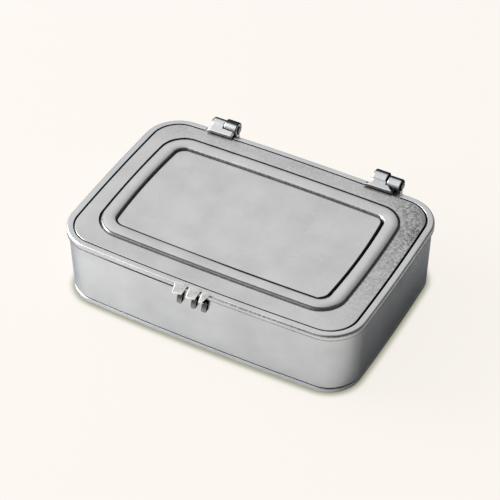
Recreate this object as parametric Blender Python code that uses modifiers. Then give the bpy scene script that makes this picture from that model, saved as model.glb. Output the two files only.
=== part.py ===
"""Pewter trinket box: a low rectangular box with a hinged lid, two pinned hinges and a three-lobed catch.

The box stands on z = 0 with its front facing -Y. Sizes are real sizes in metres. Every piece is modelled in
the box's own frame, whose z axis runs up through the middle of the walls. The empty "box" then moves that
frame a little along Y, so that the world origin lies under the middle of the whole object, hinges and
catch included. The lid's pieces hang on the empty "lid_hinge", which lies on the hinge pins' axis.
"""
import math

import bmesh
import bpy
from mathutils import Matrix

MM = 0.001

# Gaps
SEAT_GAP = 0.3 * MM            # between pieces that touch or are soldered on the real box
RIM_GAP = 0.5 * MM             # the dark line between the lid's rim and its plate
BASE_GROOVE = 0.5 * MM         # the dark line between the walls and the base
LIP_CLEARANCE = 0.6 * MM       # between the lid's locating lip and the walls
KNUCKLE_GAP = 0.3 * MM         # between neighbouring knuckles, and round a turning knuckle
LOBE_GAP = 0.85 * MM           # between neighbouring lobes of the catch
PIN_CLEARANCE = 0.25 * MM      # round a pin in its bore

# Lid outline, over the rim at the middle of each side
LID_LENGTH = 130.0 * MM
LID_DEPTH = 88.8 * MM
LID_CORNER = 14.0 * MM
BOW_LONG = 1.45 * MM           # how far the middle of a long side stands out past its ends
BOW_SHORT = 0.9 * MM           # the same for a short side

# Heights
BASE_THICKNESS = 2.1 * MM
WALL_TOP = 28.65 * MM
PLATE_TOP = 31.6 * MM          # top of the lid's plate, outside its raised frame

# Base
BASE_EDGE_ROUND = 0.6 * MM
BASE_RIB_WIDTH = 1.4 * MM
BASE_RIB_HEIGHT = 1.7 * MM     # the rib stands inside the walls and centres them

# Walls
WALL_THICKNESS = 2.2 * MM
RIM_OVERHANG = 0.8 * MM        # how far the rim stands out past the top of the walls
WALL_DRAFT = 0.65 * MM         # how far the foot of the walls lies inside their top
WALL_EDGE_ROUND = 0.3 * MM

# Lid rim
RIM_WIDTH = 3.0 * MM
RIM_CROWN = 0.1 * MM           # how far the rim's top rises past the plate
RIM_ROUND = 0.9 * MM
RIM_LEDGE_WIDTH = 2.0 * MM     # the ledge that carries the plate
LIP_DEPTH = 1.6 * MM           # how far the locating lip reaches into the walls

# Lid plate and its raised frame
PLATE_THICKNESS = 1.6 * MM
FRAME_LENGTH = 107.4 * MM      # over the frame's outer edge, at the middle of the short sides
FRAME_DEPTH = 66.2 * MM
FRAME_CORNER = 10.0 * MM
FRAME_BOW_LONG = 0.7 * MM
FRAME_BOW_SHORT = 1.2 * MM
FRAME_WIDTH = 6.0 * MM
FRAME_HEIGHT = 1.15 * MM
FRAME_SHOULDER = 0.75 * MM     # height at which the frame's steep sides turn into its crown
FRAME_SIDE = 0.45 * MM         # how far the steep sides lean in
PANEL_SINK = 0.2 * MM          # how far the plate inside the frame lies below the plate outside it

# Hinges
HINGE_FROM_END = 28.4 * MM     # from the end of the lid to the middle of a hinge
HINGE_WIDTH = 14.0 * MM
KNUCKLE_RADIUS = 2.9 * MM
KNUCKLE_OVER_RIM = 1.1 * MM    # how far the knuckles reach forward over the rim's middle
KNUCKLE_SINK = 1.3 * MM        # how far the knuckles reach below the top of the plate
LID_KNUCKLE_WIDTH = 5.5 * MM
BODY_KNUCKLE_WIDTH = 5.8 * MM
PIN_RADIUS = 1.0 * MM
PIN_HEAD_RADIUS = 1.5 * MM
PIN_HEAD_FLAT = 1.05 * MM      # radius of the flat middle of a pin's head
PIN_HEAD_HEIGHT = 0.5 * MM
PIN_HEAD_EDGE = 0.35 * MM      # height at which the flat turns into the head's rounded edge
LEAF_THICKNESS = 1.3 * MM
LEAF_OVERLAP = 1.2 * MM        # how far the leaf reaches over the lid's plate
LEAF_EDGE_ROUND = 0.4 * MM
LEAF_TOE_SLOPE = 20.0          # degrees; the leaf leaves its toe at this slope
LEAF_JOIN_ANGLE = 34.0         # degrees; it meets the knuckle this far in front of the knuckle's top
LEAF_FOOT_REACH = 2.1 * MM     # how far the leaf's foot fills the notch in the rim
LEAF_TOE_LAND = 1.0 * MM       # length of the leaf's straight sides behind its toe
LEFT_LEAF_WIDTH = 13.9 * MM
RIGHT_LEAF_WIDTH = 13.1 * MM
LEFT_LEAF_SLANT = 1.1 * MM     # sideways lean of the right edge of the left leaf
RIGHT_LEAF_SLANT = 4.6 * MM    # the same on the right leaf, which is cut off aslant
LEFT_KNUCKLE_INSET = 1.1 * MM  # from the right end of the left hinge to its knuckle
RIGHT_KNUCKLE_INSET = 0.0 * MM
LEFT_NOTCH_SPARE = 0.0 * MM    # free length of the rim's notch past the right end of the left hinge
RIGHT_NOTCH_SPARE = 1.2 * MM
BRACKET_WIDTH = 12.6 * MM
BRACKET_DROP = 6.2 * MM        # how far the bracket's wall plate reaches below the walls' top edge
BRACKET_THICKNESS = 1.5 * MM
BRACKET_KNEE = 2.0 * MM        # how far below the walls' top edge the wall plate turns into the arm
BRACKET_CORNER = 1.2 * MM      # cut corners at the foot of the wall plate
ARM_THICKNESS = 2.3 * MM

# Catch
TONGUE_WIDTH = 4.7 * MM
LEFT_EAR_WIDTH = 5.2 * MM
RIGHT_EAR_WIDTH = 3.8 * MM
LOBE_TAPER = 0.5 * MM          # how far each side of a lobe draws in towards its nose
LOBE_REACH = 2.6 * MM          # how far a lobe stands out from the rim
LOBE_LAND = 0.9 * MM           # depth of a lobe's top before its slope
LOBE_SLOPE = 50.0              # degrees below level
LOBE_STRAIGHT = 0.6 * MM       # height of a lobe's straight sides above its taper
NOSE_RADIUS = 0.7 * MM
NOSE_DROP = 2.75 * MM          # height of the plate's top above the middle of the nose's rounding
NECK_RADIUS = 0.7 * MM
TAIL_WIDTH = 2.8 * MM
TAIL_DROP = 7.4 * MM           # how far a lobe's tail reaches below the walls' top edge
TAIL_THICKNESS = 1.2 * MM
NOSE_CORNER = 0.8 * MM         # rounding of a nose's corners, seen from above

# Facets
SHARP_ANGLE = 40               # degrees; flatter edges are shaded smooth, and sharper ones can be rounded
WELD_DISTANCE = 0.01 * MM
CORNER_STEPS = 8
SIDE_STEPS = 6
ROUND_STEPS = 32
RIM_ROUND_STEPS = 4
FRAME_CROWN_STEPS = 6
LEAF_STEPS = 6
LOBE_ROUND_STEPS = 4

# Places that follow from the sizes above
RIM_BOTTOM = WALL_TOP + SEAT_GAP
PLATE_BOTTOM = PLATE_TOP - PLATE_THICKNESS
HALF_LENGTH = LID_LENGTH / 2
HALF_DEPTH = LID_DEPTH / 2
HINGE_OFFSET = HALF_LENGTH - HINGE_FROM_END
PIN_Y = HALF_DEPTH + KNUCKLE_RADIUS - KNUCKLE_OVER_RIM
PIN_Z = PLATE_TOP + KNUCKLE_RADIUS - KNUCKLE_SINK
FRONT_REACH = HALF_DEPTH + LOBE_REACH
BACK_REACH = PIN_Y + KNUCKLE_RADIUS
BOX_Y = (FRONT_REACH - BACK_REACH) / 2


def clear_scene():
    """Remove every object that the file opened with."""
    for item in list(bpy.data.objects):
        bpy.data.objects.remove(item, do_unlink=True)


def new_collection(name):
    """Make a collection in the scene."""
    made = bpy.data.collections.new(name)
    bpy.context.scene.collection.children.link(made)
    return made


def pewter(name, colour, roughness):
    """Make a metal material in one tone of pewter."""
    material = bpy.data.materials.new(name)
    material.use_nodes = True
    shader = material.node_tree.nodes["Principled BSDF"]
    shader.inputs["Base Color"].default_value = (*colour, 1.0)
    shader.inputs["Metallic"].default_value = 1.0
    shader.inputs["Roughness"].default_value = roughness
    material.diffuse_color = (*colour, 1.0)
    return material


def bowed_outline(length, depth, corner, bow_long, bow_short):
    """Points of a rounded rectangle whose sides bow out, anticlockwise from the right end of the back side.

    The plain rounded rectangle is smaller by the bows. Each point is then pushed out by the bow times one
    less the square of its place along the side.
    """
    half_x = length / 2 - bow_short
    half_y = depth / 2 - bow_long
    plain = []
    for quarter, (side_x, side_y) in enumerate(((1, 1), (-1, 1), (-1, -1), (1, -1))):
        centre_x = side_x * (half_x - corner)
        centre_y = side_y * (half_y - corner)
        for step in range(CORNER_STEPS + 1):
            angle = math.radians(90) * (quarter + step / CORNER_STEPS)
            plain.append((centre_x + corner * math.cos(angle), centre_y + corner * math.sin(angle)))
        run = 2 * ((half_x if quarter % 2 == 0 else half_y) - corner)
        heading = math.radians(90) * (quarter + 2)
        start_x, start_y = plain[-1]
        for step in range(1, SIDE_STEPS):
            along = run * step / SIDE_STEPS
            plain.append((start_x + along * math.cos(heading), start_y + along * math.sin(heading)))
    points = []
    for x, y in plain:
        out_x = 1 + bow_short / half_x * (1 - (y / half_y) ** 2)
        out_y = 1 + bow_long / half_y * (1 - (x / half_x) ** 2)
        points.append((x * out_x, y * out_y))
    return points


def lid_outline(inset):
    """The lid's outline, moved in by the given distance."""
    return bowed_outline(LID_LENGTH - 2 * inset, LID_DEPTH - 2 * inset, LID_CORNER - inset,
                         BOW_LONG, BOW_SHORT)


def rim_outer_y(x):
    """How far the rear of the rim lies behind the box's middle at a place along the back."""
    back = sorted(point for point in lid_outline(0.0) if point[1] > 0)
    for (left, left_y), (right, right_y) in zip(back, back[1:]):
        if left <= x <= right:
            return left_y + (right_y - left_y) * (x - left) / (right - left)
    raise ValueError("the hinge lies past the end of the box")


def arc(centre, radius, start, end, steps):
    """Points along an arc between two angles in degrees."""
    angles = [math.radians(start + (end - start) * step / steps) for step in range(steps + 1)]
    return [(centre[0] + radius * math.cos(angle), centre[1] + radius * math.sin(angle)) for angle in angles]


def poly_curve(name, points, dimensions):
    """Make a closed curve of straight runs through flat points."""
    data = bpy.data.curves.new(name, "CURVE")
    data.dimensions = dimensions
    spline = data.splines.new("POLY")
    spline.points.add(len(points) - 1)
    for place, (x, y) in zip(spline.points, points):
        place.co = (x, y, 0.0, 1.0)
    spline.use_cyclic_u = True
    item = bpy.data.objects.new(name, data)
    bpy.context.scene.collection.objects.link(item)
    return item


def mesh_of_curve(curve_object, name):
    """Turn a curve object into a welded mesh object in world space, and remove the curve."""
    bpy.context.view_layer.update()
    graph = bpy.context.evaluated_depsgraph_get()
    mesh = bpy.data.meshes.new_from_object(curve_object.evaluated_get(graph))
    mesh.transform(curve_object.matrix_world)
    shape = bmesh.new()
    shape.from_mesh(mesh)
    bmesh.ops.remove_doubles(shape, verts=shape.verts, dist=WELD_DISTANCE)
    bmesh.ops.recalc_face_normals(shape, faces=shape.faces)
    shape.to_mesh(mesh)
    shape.free()
    bpy.data.objects.remove(curve_object, do_unlink=True)
    return bpy.data.objects.new(name, mesh)


def flat_plate(name, points, low, high):
    """A flat outline in X and Y, filled between two heights."""
    curve = poly_curve(name + "_outline", points, "2D")
    curve.data.fill_mode = "BOTH"
    curve.data.extrude = (high - low) / 2
    curve.location.z = (low + high) / 2
    return mesh_of_curve(curve, name)


def side_plate(name, points, left, right):
    """A flat outline in Y and Z, filled between two places along X."""
    curve = poly_curve(name + "_outline", points, "2D")
    curve.data.fill_mode = "BOTH"
    curve.data.extrude = (right - left) / 2
    curve.matrix_world = Matrix((
        (0, 0, 1, (left + right) / 2),
        (1, 0, 0, 0),
        (0, 1, 0, 0),
        (0, 0, 0, 1)))
    return mesh_of_curve(curve, name)


def front_plate(name, points, near, far):
    """A flat outline in X and Z, filled between two places along Y."""
    curve = poly_curve(name + "_outline", points, "2D")
    curve.data.fill_mode = "BOTH"
    curve.data.extrude = (far - near) / 2
    curve.matrix_world = Matrix((
        (1, 0, 0, 0),
        (0, 0, -1, (near + far) / 2),
        (0, 1, 0, 0),
        (0, 0, 0, 1)))
    return mesh_of_curve(curve, name)


def swept_ring(name, path, section):
    """A closed section carried round a closed outline; the section's x points outward and its y up."""
    profile = poly_curve(name + "_section", section, "2D")
    rail = poly_curve(name + "_rail", path, "3D")
    rail.data.twist_mode = "Z_UP"
    rail.data.bevel_mode = "OBJECT"
    rail.data.bevel_object = profile
    ring = mesh_of_curve(rail, name)
    bpy.data.objects.remove(profile, do_unlink=True)
    return ring


def rod(name, radius, left, right, y, z):
    """A cylinder along X."""
    mesh = bpy.data.meshes.new(name)
    shape = bmesh.new()
    bmesh.ops.create_cone(shape, cap_ends=True, segments=ROUND_STEPS, radius1=radius, radius2=radius,
                          depth=right - left)
    bmesh.ops.rotate(shape, verts=shape.verts, matrix=Matrix.Rotation(math.radians(90), 3, "Y"))
    bmesh.ops.translate(shape, verts=shape.verts, vec=((left + right) / 2, y, z))
    shape.to_mesh(mesh)
    shape.free()
    return bpy.data.objects.new(name, mesh)


class Bench:
    """Holds the collections, empties and materials, and puts each finished piece in its place."""

    def __init__(self):
        self.parts = new_collection("trinket_box")
        self.cutters = new_collection("trinket_box_cutters")
        self.box = self.empty("box", (0.0, BOX_Y, 0.0), None)
        self.hinge = self.empty("lid_hinge", (0.0, PIN_Y, PIN_Z), self.box)

    def empty(self, name, place, parent):
        """Add an empty for pieces to hang on."""
        made = bpy.data.objects.new(name, None)
        made.empty_display_size = 0.01
        made.location = place
        made.parent = parent
        self.parts.objects.link(made)
        return made

    def hang(self, item, on_lid):
        """Hang a mesh, made in the box's frame, on the box or on the lid's hinge."""
        item.parent = self.hinge if on_lid else self.box
        item.location = (0.0, -PIN_Y, -PIN_Z) if on_lid else (0.0, 0.0, 0.0)

    def piece(self, item, material, on_lid=False, smooth=False):
        """Add a finished sub-part."""
        self.parts.objects.link(item)
        self.hang(item, on_lid)
        item.data.materials.clear()
        item.data.materials.append(material)
        if smooth:
            item.data.shade_smooth()
            item.data.set_sharp_from_angle(angle=math.radians(SHARP_ANGLE))
        return item

    def combine(self, item, tool, operation):
        """Join, cut or cross a piece with another shape, which becomes a hidden helper."""
        self.cutters.objects.link(tool)
        tool.parent = item.parent
        tool.location = item.location
        tool.display_type = "WIRE"
        tool.hide_render = True
        step = item.modifiers.new(tool.name, "BOOLEAN")
        step.operation = operation
        step.object = tool
        step.solver = "EXACT"


def bevel(item, width, segments):
    """Round a piece's sharp edges."""
    step = item.modifiers.new("rounding", "BEVEL")
    step.width = width
    step.segments = segments
    step.limit_method = "ANGLE"
    step.angle_limit = math.radians(SHARP_ANGLE)


def make_base(bench, material):
    """The base plate: a rounded edge that shows as the box's foot, and a rib that stands inside the walls."""
    edge_inset = RIM_OVERHANG + WALL_DRAFT
    base = flat_plate("base_plate", lid_outline(edge_inset), 0.0, BASE_THICKNESS)
    bench.piece(base, material)
    bevel(base, BASE_EDGE_ROUND, 3)
    rib_outside = -(edge_inset + WALL_THICKNESS + SEAT_GAP)
    rib_inside = rib_outside - BASE_RIB_WIDTH
    sunk = BASE_THICKNESS / 2
    rib_top = BASE_THICKNESS + BASE_RIB_HEIGHT
    rib = swept_ring("base_rib", lid_outline(0.0), [
        (rib_inside, sunk), (rib_outside, sunk), (rib_outside, rib_top), (rib_inside, rib_top)])
    bench.combine(base, rib, "UNION")
    return base


def make_walls(bench, material):
    """The four walls as one bent band, a little narrower at the foot than at the top."""
    foot = BASE_THICKNESS + BASE_GROOVE
    outer_top = -RIM_OVERHANG
    outer_foot = outer_top - WALL_DRAFT
    inner_top = outer_top - WALL_THICKNESS
    inner_foot = outer_foot - WALL_THICKNESS
    soft = WALL_EDGE_ROUND
    walls = swept_ring("body_walls", lid_outline(0.0), [
        (inner_foot, foot),
        (outer_foot - soft, foot),
        (outer_foot, foot + soft),
        (outer_top, WALL_TOP - soft),
        (outer_top - soft, WALL_TOP),
        (inner_top + soft, WALL_TOP),
        (inner_top, WALL_TOP - soft)])
    return bench.piece(walls, material, smooth=True)


def make_rim(bench, hinges, material):
    """The lid's rim: a rounded band round the plate, with a ledge under the plate and a locating lip."""
    gap_line = -RIM_WIDTH
    top = PLATE_TOP + RIM_CROWN
    soft = WALL_EDGE_ROUND
    ledge_top = PLATE_BOTTOM - SEAT_GAP
    ledge_in = gap_line - RIM_LEDGE_WIDTH
    lip_out = -(RIM_OVERHANG + WALL_THICKNESS + LIP_CLEARANCE)
    lip_foot = WALL_TOP - LIP_DEPTH
    section = [
        (ledge_in, lip_foot), (lip_out, lip_foot), (lip_out, RIM_BOTTOM),
        (-soft, RIM_BOTTOM), (0.0, RIM_BOTTOM + soft)]
    section += arc((-RIM_ROUND, top - RIM_ROUND), RIM_ROUND, 0.0, 90.0, RIM_ROUND_STEPS)
    section += [(gap_line + soft, top), (gap_line, top - soft), (gap_line, ledge_top), (ledge_in, ledge_top)]
    rim = swept_ring("lid_rim", lid_outline(0.0), section)
    bench.piece(rim, material, on_lid=True, smooth=True)
    for hinge in hinges:
        step = ledge_top + SEAT_GAP / 2
        upper_front = hinge.rim_y_least - RIM_WIDTH - RIM_GAP / 2
        lower_front = hinge.rim_y - RIM_WIDTH
        behind = HALF_DEPTH + RIM_WIDTH
        notch = side_plate("rim_notch_" + hinge.side, [
            (upper_front, step), (lower_front, step), (lower_front, RIM_BOTTOM - SEAT_GAP),
            (behind, RIM_BOTTOM - SEAT_GAP), (behind, top + RIM_WIDTH), (upper_front, top + RIM_WIDTH)],
            hinge.notch_left, hinge.notch_right)
        bench.combine(rim, notch, "DIFFERENCE")
    return rim


def make_plate(bench, material):
    """The lid's plate with its raised, gently crowned frame and its slightly sunken middle."""
    plate = flat_plate("lid_plate", lid_outline(RIM_WIDTH + RIM_GAP), PLATE_BOTTOM, PLATE_TOP)
    bench.piece(plate, material, on_lid=True)
    half = FRAME_WIDTH / 2
    middle = bowed_outline(FRAME_LENGTH - FRAME_WIDTH, FRAME_DEPTH - FRAME_WIDTH, FRAME_CORNER - half,
                           FRAME_BOW_LONG, FRAME_BOW_SHORT)
    recess = flat_plate("panel_recess", middle, PLATE_TOP - PANEL_SINK, PLATE_TOP + PLATE_THICKNESS)
    bench.combine(plate, recess, "DIFFERENCE")
    sunk = PLATE_TOP - PLATE_THICKNESS / 2
    crown_half = half - FRAME_SIDE
    section = [(-half, sunk), (half, sunk), (half, PLATE_TOP), (crown_half, PLATE_TOP + FRAME_SHOULDER)]
    for step in range(1, FRAME_CROWN_STEPS):
        across = crown_half * math.cos(math.pi * step / FRAME_CROWN_STEPS)
        rise = (FRAME_HEIGHT - FRAME_SHOULDER) * (1 - (across / crown_half) ** 2)
        section.append((across, PLATE_TOP + FRAME_SHOULDER + rise))
    section += [(-crown_half, PLATE_TOP + FRAME_SHOULDER), (-half, PLATE_TOP - PANEL_SINK)]
    frame = swept_ring("plate_frame", middle, section)
    bench.combine(plate, frame, "UNION")
    return plate


class Hinge:
    """Where one hinge's pieces lie along X, and how far back the rim lies there."""

    def __init__(self, side, middle, leaf_width, leaf_slant, knuckle_inset, notch_spare):
        self.side = side
        self.leaf_left = middle - HINGE_WIDTH / 2
        self.leaf_right = self.leaf_left + leaf_width
        self.leaf_slant = leaf_slant
        self.body_right = middle + HINGE_WIDTH / 2 - knuckle_inset
        self.body_left = self.body_right - BODY_KNUCKLE_WIDTH
        self.lid_right = self.body_left - KNUCKLE_GAP
        self.lid_left = self.lid_right - LID_KNUCKLE_WIDTH
        self.notch_left = self.leaf_left - SEAT_GAP
        self.notch_right = middle + HINGE_WIDTH / 2 + SEAT_GAP + notch_spare
        self.rim_y = rim_outer_y(middle)
        self.rim_y_most = rim_outer_y(abs(middle) - HINGE_WIDTH / 2)
        self.rim_y_least = rim_outer_y(abs(middle) + HINGE_WIDTH / 2 + SEAT_GAP + notch_spare)


def leaf_profile(hinge):
    """Side view (Y, Z) of a lid leaf: a flat toe on the plate that sweeps up into the knuckle."""
    toe = hinge.rim_y - RIM_WIDTH - LEAF_OVERLAP
    under = PLATE_TOP + SEAT_GAP
    top = under + LEAF_THICKNESS
    start = toe + LEAF_EDGE_ROUND
    join = math.radians(LEAF_JOIN_ANGLE)
    end_y = PIN_Y - KNUCKLE_RADIUS * math.sin(join)
    end_z = PIN_Z + KNUCKLE_RADIUS * math.cos(join)
    toe_rise = math.tan(math.radians(LEAF_TOE_SLOPE))
    join_rise = math.tan(join)
    turn_y = (top - toe_rise * start - end_z + join_rise * end_y) / (join_rise - toe_rise)
    turn_z = top + toe_rise * (turn_y - start)
    points = [(toe, under)]
    points += reversed(arc((start, top - LEAF_EDGE_ROUND), LEAF_EDGE_ROUND, 90.0, 180.0, RIM_ROUND_STEPS))
    for step in range(1, LEAF_STEPS + 1):
        part = step / LEAF_STEPS
        rest = 1 - part
        points.append((rest * rest * start + 2 * rest * part * turn_y + part * part * end_y,
                       rest * rest * top + 2 * rest * part * turn_z + part * part * end_z))
    foot_front = hinge.rim_y - RIM_WIDTH + SEAT_GAP
    foot_back = foot_front + LEAF_FOOT_REACH
    foot = RIM_BOTTOM + SEAT_GAP
    behind = PLATE_TOP - SEAT_GAP
    points += [(PIN_Y, PIN_Z), (PIN_Y, behind), (foot_back, behind), (foot_back, foot), (foot_front, foot),
               (foot_front, under)]
    return points


def make_leaf(bench, hinge, material):
    """One lid leaf: the swept-up strap with the lid's knuckle rolled into its left half."""
    leaf = side_plate("hinge_leaf_" + hinge.side, leaf_profile(hinge), hinge.leaf_left, hinge.leaf_right)
    bench.piece(leaf, material, on_lid=True, smooth=True)
    toe = hinge.rim_y - RIM_WIDTH - LEAF_OVERLAP
    straight = toe + LEAF_TOE_LAND
    shoulder = PIN_Y - KNUCKLE_RADIUS - KNUCKLE_GAP / 2
    plan = flat_plate("leaf_plan_" + hinge.side, [
        (hinge.leaf_left, toe - LEAF_OVERLAP), (hinge.leaf_right, toe - LEAF_OVERLAP),
        (hinge.leaf_right, straight), (hinge.leaf_right - hinge.leaf_slant, shoulder),
        (hinge.lid_right, shoulder), (hinge.lid_right, BACK_REACH), (hinge.lid_left, BACK_REACH),
        (hinge.lid_left, PIN_Y - LEAF_TOE_LAND), (hinge.leaf_left, straight)], 0.0, 2 * PIN_Z)
    bench.combine(leaf, plan, "INTERSECT")
    knuckle = rod("lid_knuckle_" + hinge.side, KNUCKLE_RADIUS, hinge.lid_left, hinge.lid_right, PIN_Y, PIN_Z)
    bench.combine(leaf, knuckle, "UNION")
    room = rod("body_knuckle_room_" + hinge.side, KNUCKLE_RADIUS + KNUCKLE_GAP, hinge.lid_right,
               hinge.body_right + HINGE_WIDTH, PIN_Y, PIN_Z)
    bench.combine(leaf, room, "DIFFERENCE")
    bore = rod("lid_knuckle_bore_" + hinge.side, PIN_RADIUS + PIN_CLEARANCE, hinge.lid_left - KNUCKLE_GAP,
               hinge.lid_right + KNUCKLE_GAP, PIN_Y, PIN_Z)
    bench.combine(leaf, bore, "DIFFERENCE")
    return leaf


def make_bracket(bench, hinge, material):
    """One bracket: a plate on the back wall whose arm rises behind the rim into the body's knuckle."""
    left = hinge.body_right - BRACKET_WIDTH
    right = hinge.body_right
    face = hinge.rim_y_most - RIM_OVERHANG + SEAT_GAP
    back = face + BRACKET_THICKNESS
    foot = WALL_TOP - BRACKET_DROP
    arm_front = hinge.rim_y_most + SEAT_GAP
    arm_back = arm_front + ARM_THICKNESS
    bracket = side_plate("hinge_bracket_" + hinge.side, [
        (face, foot), (back - LEAF_EDGE_ROUND, foot), (back, foot + LEAF_EDGE_ROUND),
        (back, WALL_TOP - BRACKET_KNEE - BRACKET_THICKNESS), (arm_back, WALL_TOP - SEAT_GAP),
        (arm_back, PIN_Z), (arm_front, PIN_Z), (arm_front, WALL_TOP), (face, WALL_TOP)], left, right)
    bench.piece(bracket, material, smooth=True)
    plan = front_plate("bracket_front_" + hinge.side, [
        (left + BRACKET_CORNER, foot - SEAT_GAP), (right - BRACKET_CORNER, foot - SEAT_GAP),
        (right, foot + BRACKET_CORNER), (right, 2 * PIN_Z), (hinge.body_left, 2 * PIN_Z),
        (hinge.body_left, WALL_TOP - BRACKET_KNEE), (left, WALL_TOP - BRACKET_KNEE),
        (left, foot + BRACKET_CORNER)], 0.0, 2 * PIN_Y)
    bench.combine(bracket, plan, "INTERSECT")
    knuckle = rod("body_knuckle_" + hinge.side, KNUCKLE_RADIUS, hinge.body_left, right, PIN_Y, PIN_Z)
    bench.combine(bracket, knuckle, "UNION")
    bore = rod("body_knuckle_bore_" + hinge.side, PIN_RADIUS + PIN_CLEARANCE, hinge.body_left - KNUCKLE_GAP,
               right + KNUCKLE_GAP, PIN_Y, PIN_Z)
    bench.combine(bracket, bore, "DIFFERENCE")
    return bracket


def make_pin(bench, hinge, material):
    """One hinge pin, turned with a domed head at each end."""
    side = hinge.side
    left = hinge.lid_left - SEAT_GAP
    right = hinge.body_right + SEAT_GAP
    half = (right - left) / 2
    top = [(0.0, half + PIN_HEAD_HEIGHT), (PIN_HEAD_FLAT, half + PIN_HEAD_EDGE), (PIN_HEAD_RADIUS, half),
           (PIN_RADIUS, half)]
    profile = top + [(x, -z) for x, z in reversed(top)]
    mesh = bpy.data.meshes.new("hinge_pin_" + side)
    mesh.from_pydata([(x, 0.0, z) for x, z in profile], [(n, n + 1) for n in range(len(profile) - 1)], [])
    pin = bpy.data.objects.new("hinge_pin_" + side, mesh)
    bench.piece(pin, material)
    turn = pin.modifiers.new("turned", "SCREW")
    turn.axis = "Z"
    turn.angle = math.radians(360)
    turn.steps = ROUND_STEPS // 2
    turn.render_steps = ROUND_STEPS // 2
    turn.use_merge_vertices = True
    turn.merge_threshold = WELD_DISTANCE
    turn.use_smooth_shade = True
    pin.rotation_euler = (0.0, math.radians(90), 0.0)
    pin.location = ((left + right) / 2, PIN_Y, PIN_Z)
    return pin


def lobe_profile():
    """Side view (Y, Z) of a catch lobe: a sloping nose over a thin tail that lies along the wall."""
    rim_face = -HALF_DEPTH
    top = PLATE_TOP - SEAT_GAP
    tip = WALL_TOP - TAIL_DROP
    seat = -RIM_OVERHANG + SEAT_GAP
    tail = seat + TAIL_THICKNESS
    nose_z = PLATE_TOP - NOSE_DROP
    neck_z = nose_z - NOSE_RADIUS - NECK_RADIUS
    outward = [(SEAT_GAP, top), (LOBE_LAND, top)]
    outward += arc((LOBE_REACH - NOSE_RADIUS, nose_z), NOSE_RADIUS, 90.0 - LOBE_SLOPE, -90.0,
                   LOBE_ROUND_STEPS)
    outward += arc((tail + NECK_RADIUS, neck_z), NECK_RADIUS, 90.0, 180.0, LOBE_ROUND_STEPS)
    outward += arc((seat, tip + TAIL_THICKNESS), TAIL_THICKNESS, 0.0, -90.0, LOBE_ROUND_STEPS)
    outward += [(seat, WALL_TOP), (SEAT_GAP, WALL_TOP)]
    return [(rim_face - out, z) for out, z in outward]


def lobe_outline(middle, width):
    """Front view (X, Z) of a catch lobe: wide at the top, narrower at the nose, with a round tail."""
    top_half = width / 2
    nose_half = top_half - LOBE_TAPER
    tail_half = TAIL_WIDTH / 2
    nose_z = PLATE_TOP - NOSE_DROP
    neck_z = nose_z - NOSE_RADIUS - NECK_RADIUS
    tip = WALL_TOP - TAIL_DROP
    right = [(top_half, PLATE_TOP), (top_half, PLATE_TOP - LOBE_STRAIGHT), (nose_half, nose_z),
             (tail_half, neck_z)]
    right += arc((0.0, tip + tail_half), tail_half, 0.0, -90.0, LOBE_ROUND_STEPS)
    left = [(-x, z) for x, z in reversed(right[:-1])]
    return [(middle + x, z) for x, z in reversed(right + left)]


def lobe_plan(middle, width):
    """View of a catch lobe from above (X, Y): its sides draw in towards a nose with round corners."""
    rim_face = -HALF_DEPTH
    top_half = width / 2
    corner_x = top_half - LOBE_TAPER - NOSE_CORNER
    corner_y = rim_face - LOBE_REACH + NOSE_CORNER
    right = [(top_half, 0.0), (top_half, rim_face - SEAT_GAP)]
    right += arc((corner_x, corner_y), NOSE_CORNER, 0.0, -90.0, LOBE_ROUND_STEPS)
    left = [(-x, y) for x, y in reversed(right)]
    return [(middle + x, y) for x, y in reversed(right + left)]


def make_lobe(bench, name, middle, width, on_lid, material):
    """One lobe of the catch, as the crossing of its views from the side, the front and above."""
    lobe = side_plate(name, lobe_profile(), middle - width, middle + width)
    bench.piece(lobe, material, on_lid=on_lid, smooth=True)
    front = front_plate(name + "_front", lobe_outline(middle, width), -2 * HALF_DEPTH, 0.0)
    bench.combine(lobe, front, "INTERSECT")
    plan = flat_plate(name + "_plan", lobe_plan(middle, width), 0.0, PLATE_TOP)
    bench.combine(lobe, plan, "INTERSECT")
    return lobe


def build():
    """Build the whole box."""
    clear_scene()
    bench = Bench()
    wall_metal = pewter("pewter_walls", (0.55, 0.56, 0.58), 0.42)
    lid_metal = pewter("pewter_lid", (0.58, 0.585, 0.585), 0.38)
    hinge_metal = pewter("pewter_hinges", (0.60, 0.60, 0.60), 0.33)
    pin_metal = pewter("pin_steel", (0.42, 0.42, 0.43), 0.35)
    make_base(bench, wall_metal)
    make_walls(bench, wall_metal)
    hinges = (
        Hinge("left", -HINGE_OFFSET, LEFT_LEAF_WIDTH, LEFT_LEAF_SLANT, LEFT_KNUCKLE_INSET, LEFT_NOTCH_SPARE),
        Hinge("right", HINGE_OFFSET, RIGHT_LEAF_WIDTH, RIGHT_LEAF_SLANT, RIGHT_KNUCKLE_INSET,
              RIGHT_NOTCH_SPARE))
    make_rim(bench, hinges, lid_metal)
    make_plate(bench, lid_metal)
    for hinge in hinges:
        make_leaf(bench, hinge, hinge_metal)
        make_bracket(bench, hinge, hinge_metal)
        make_pin(bench, hinge, pin_metal)
    left_ear = -(TONGUE_WIDTH + LEFT_EAR_WIDTH) / 2 - LOBE_GAP
    right_ear = (TONGUE_WIDTH + RIGHT_EAR_WIDTH) / 2 + LOBE_GAP
    make_lobe(bench, "catch_ear_left", left_ear, LEFT_EAR_WIDTH, False, hinge_metal)
    make_lobe(bench, "catch_tongue", 0.0, TONGUE_WIDTH, True, hinge_metal)
    make_lobe(bench, "catch_ear_right", right_ear, RIGHT_EAR_WIDTH, False, hinge_metal)


build()
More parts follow.
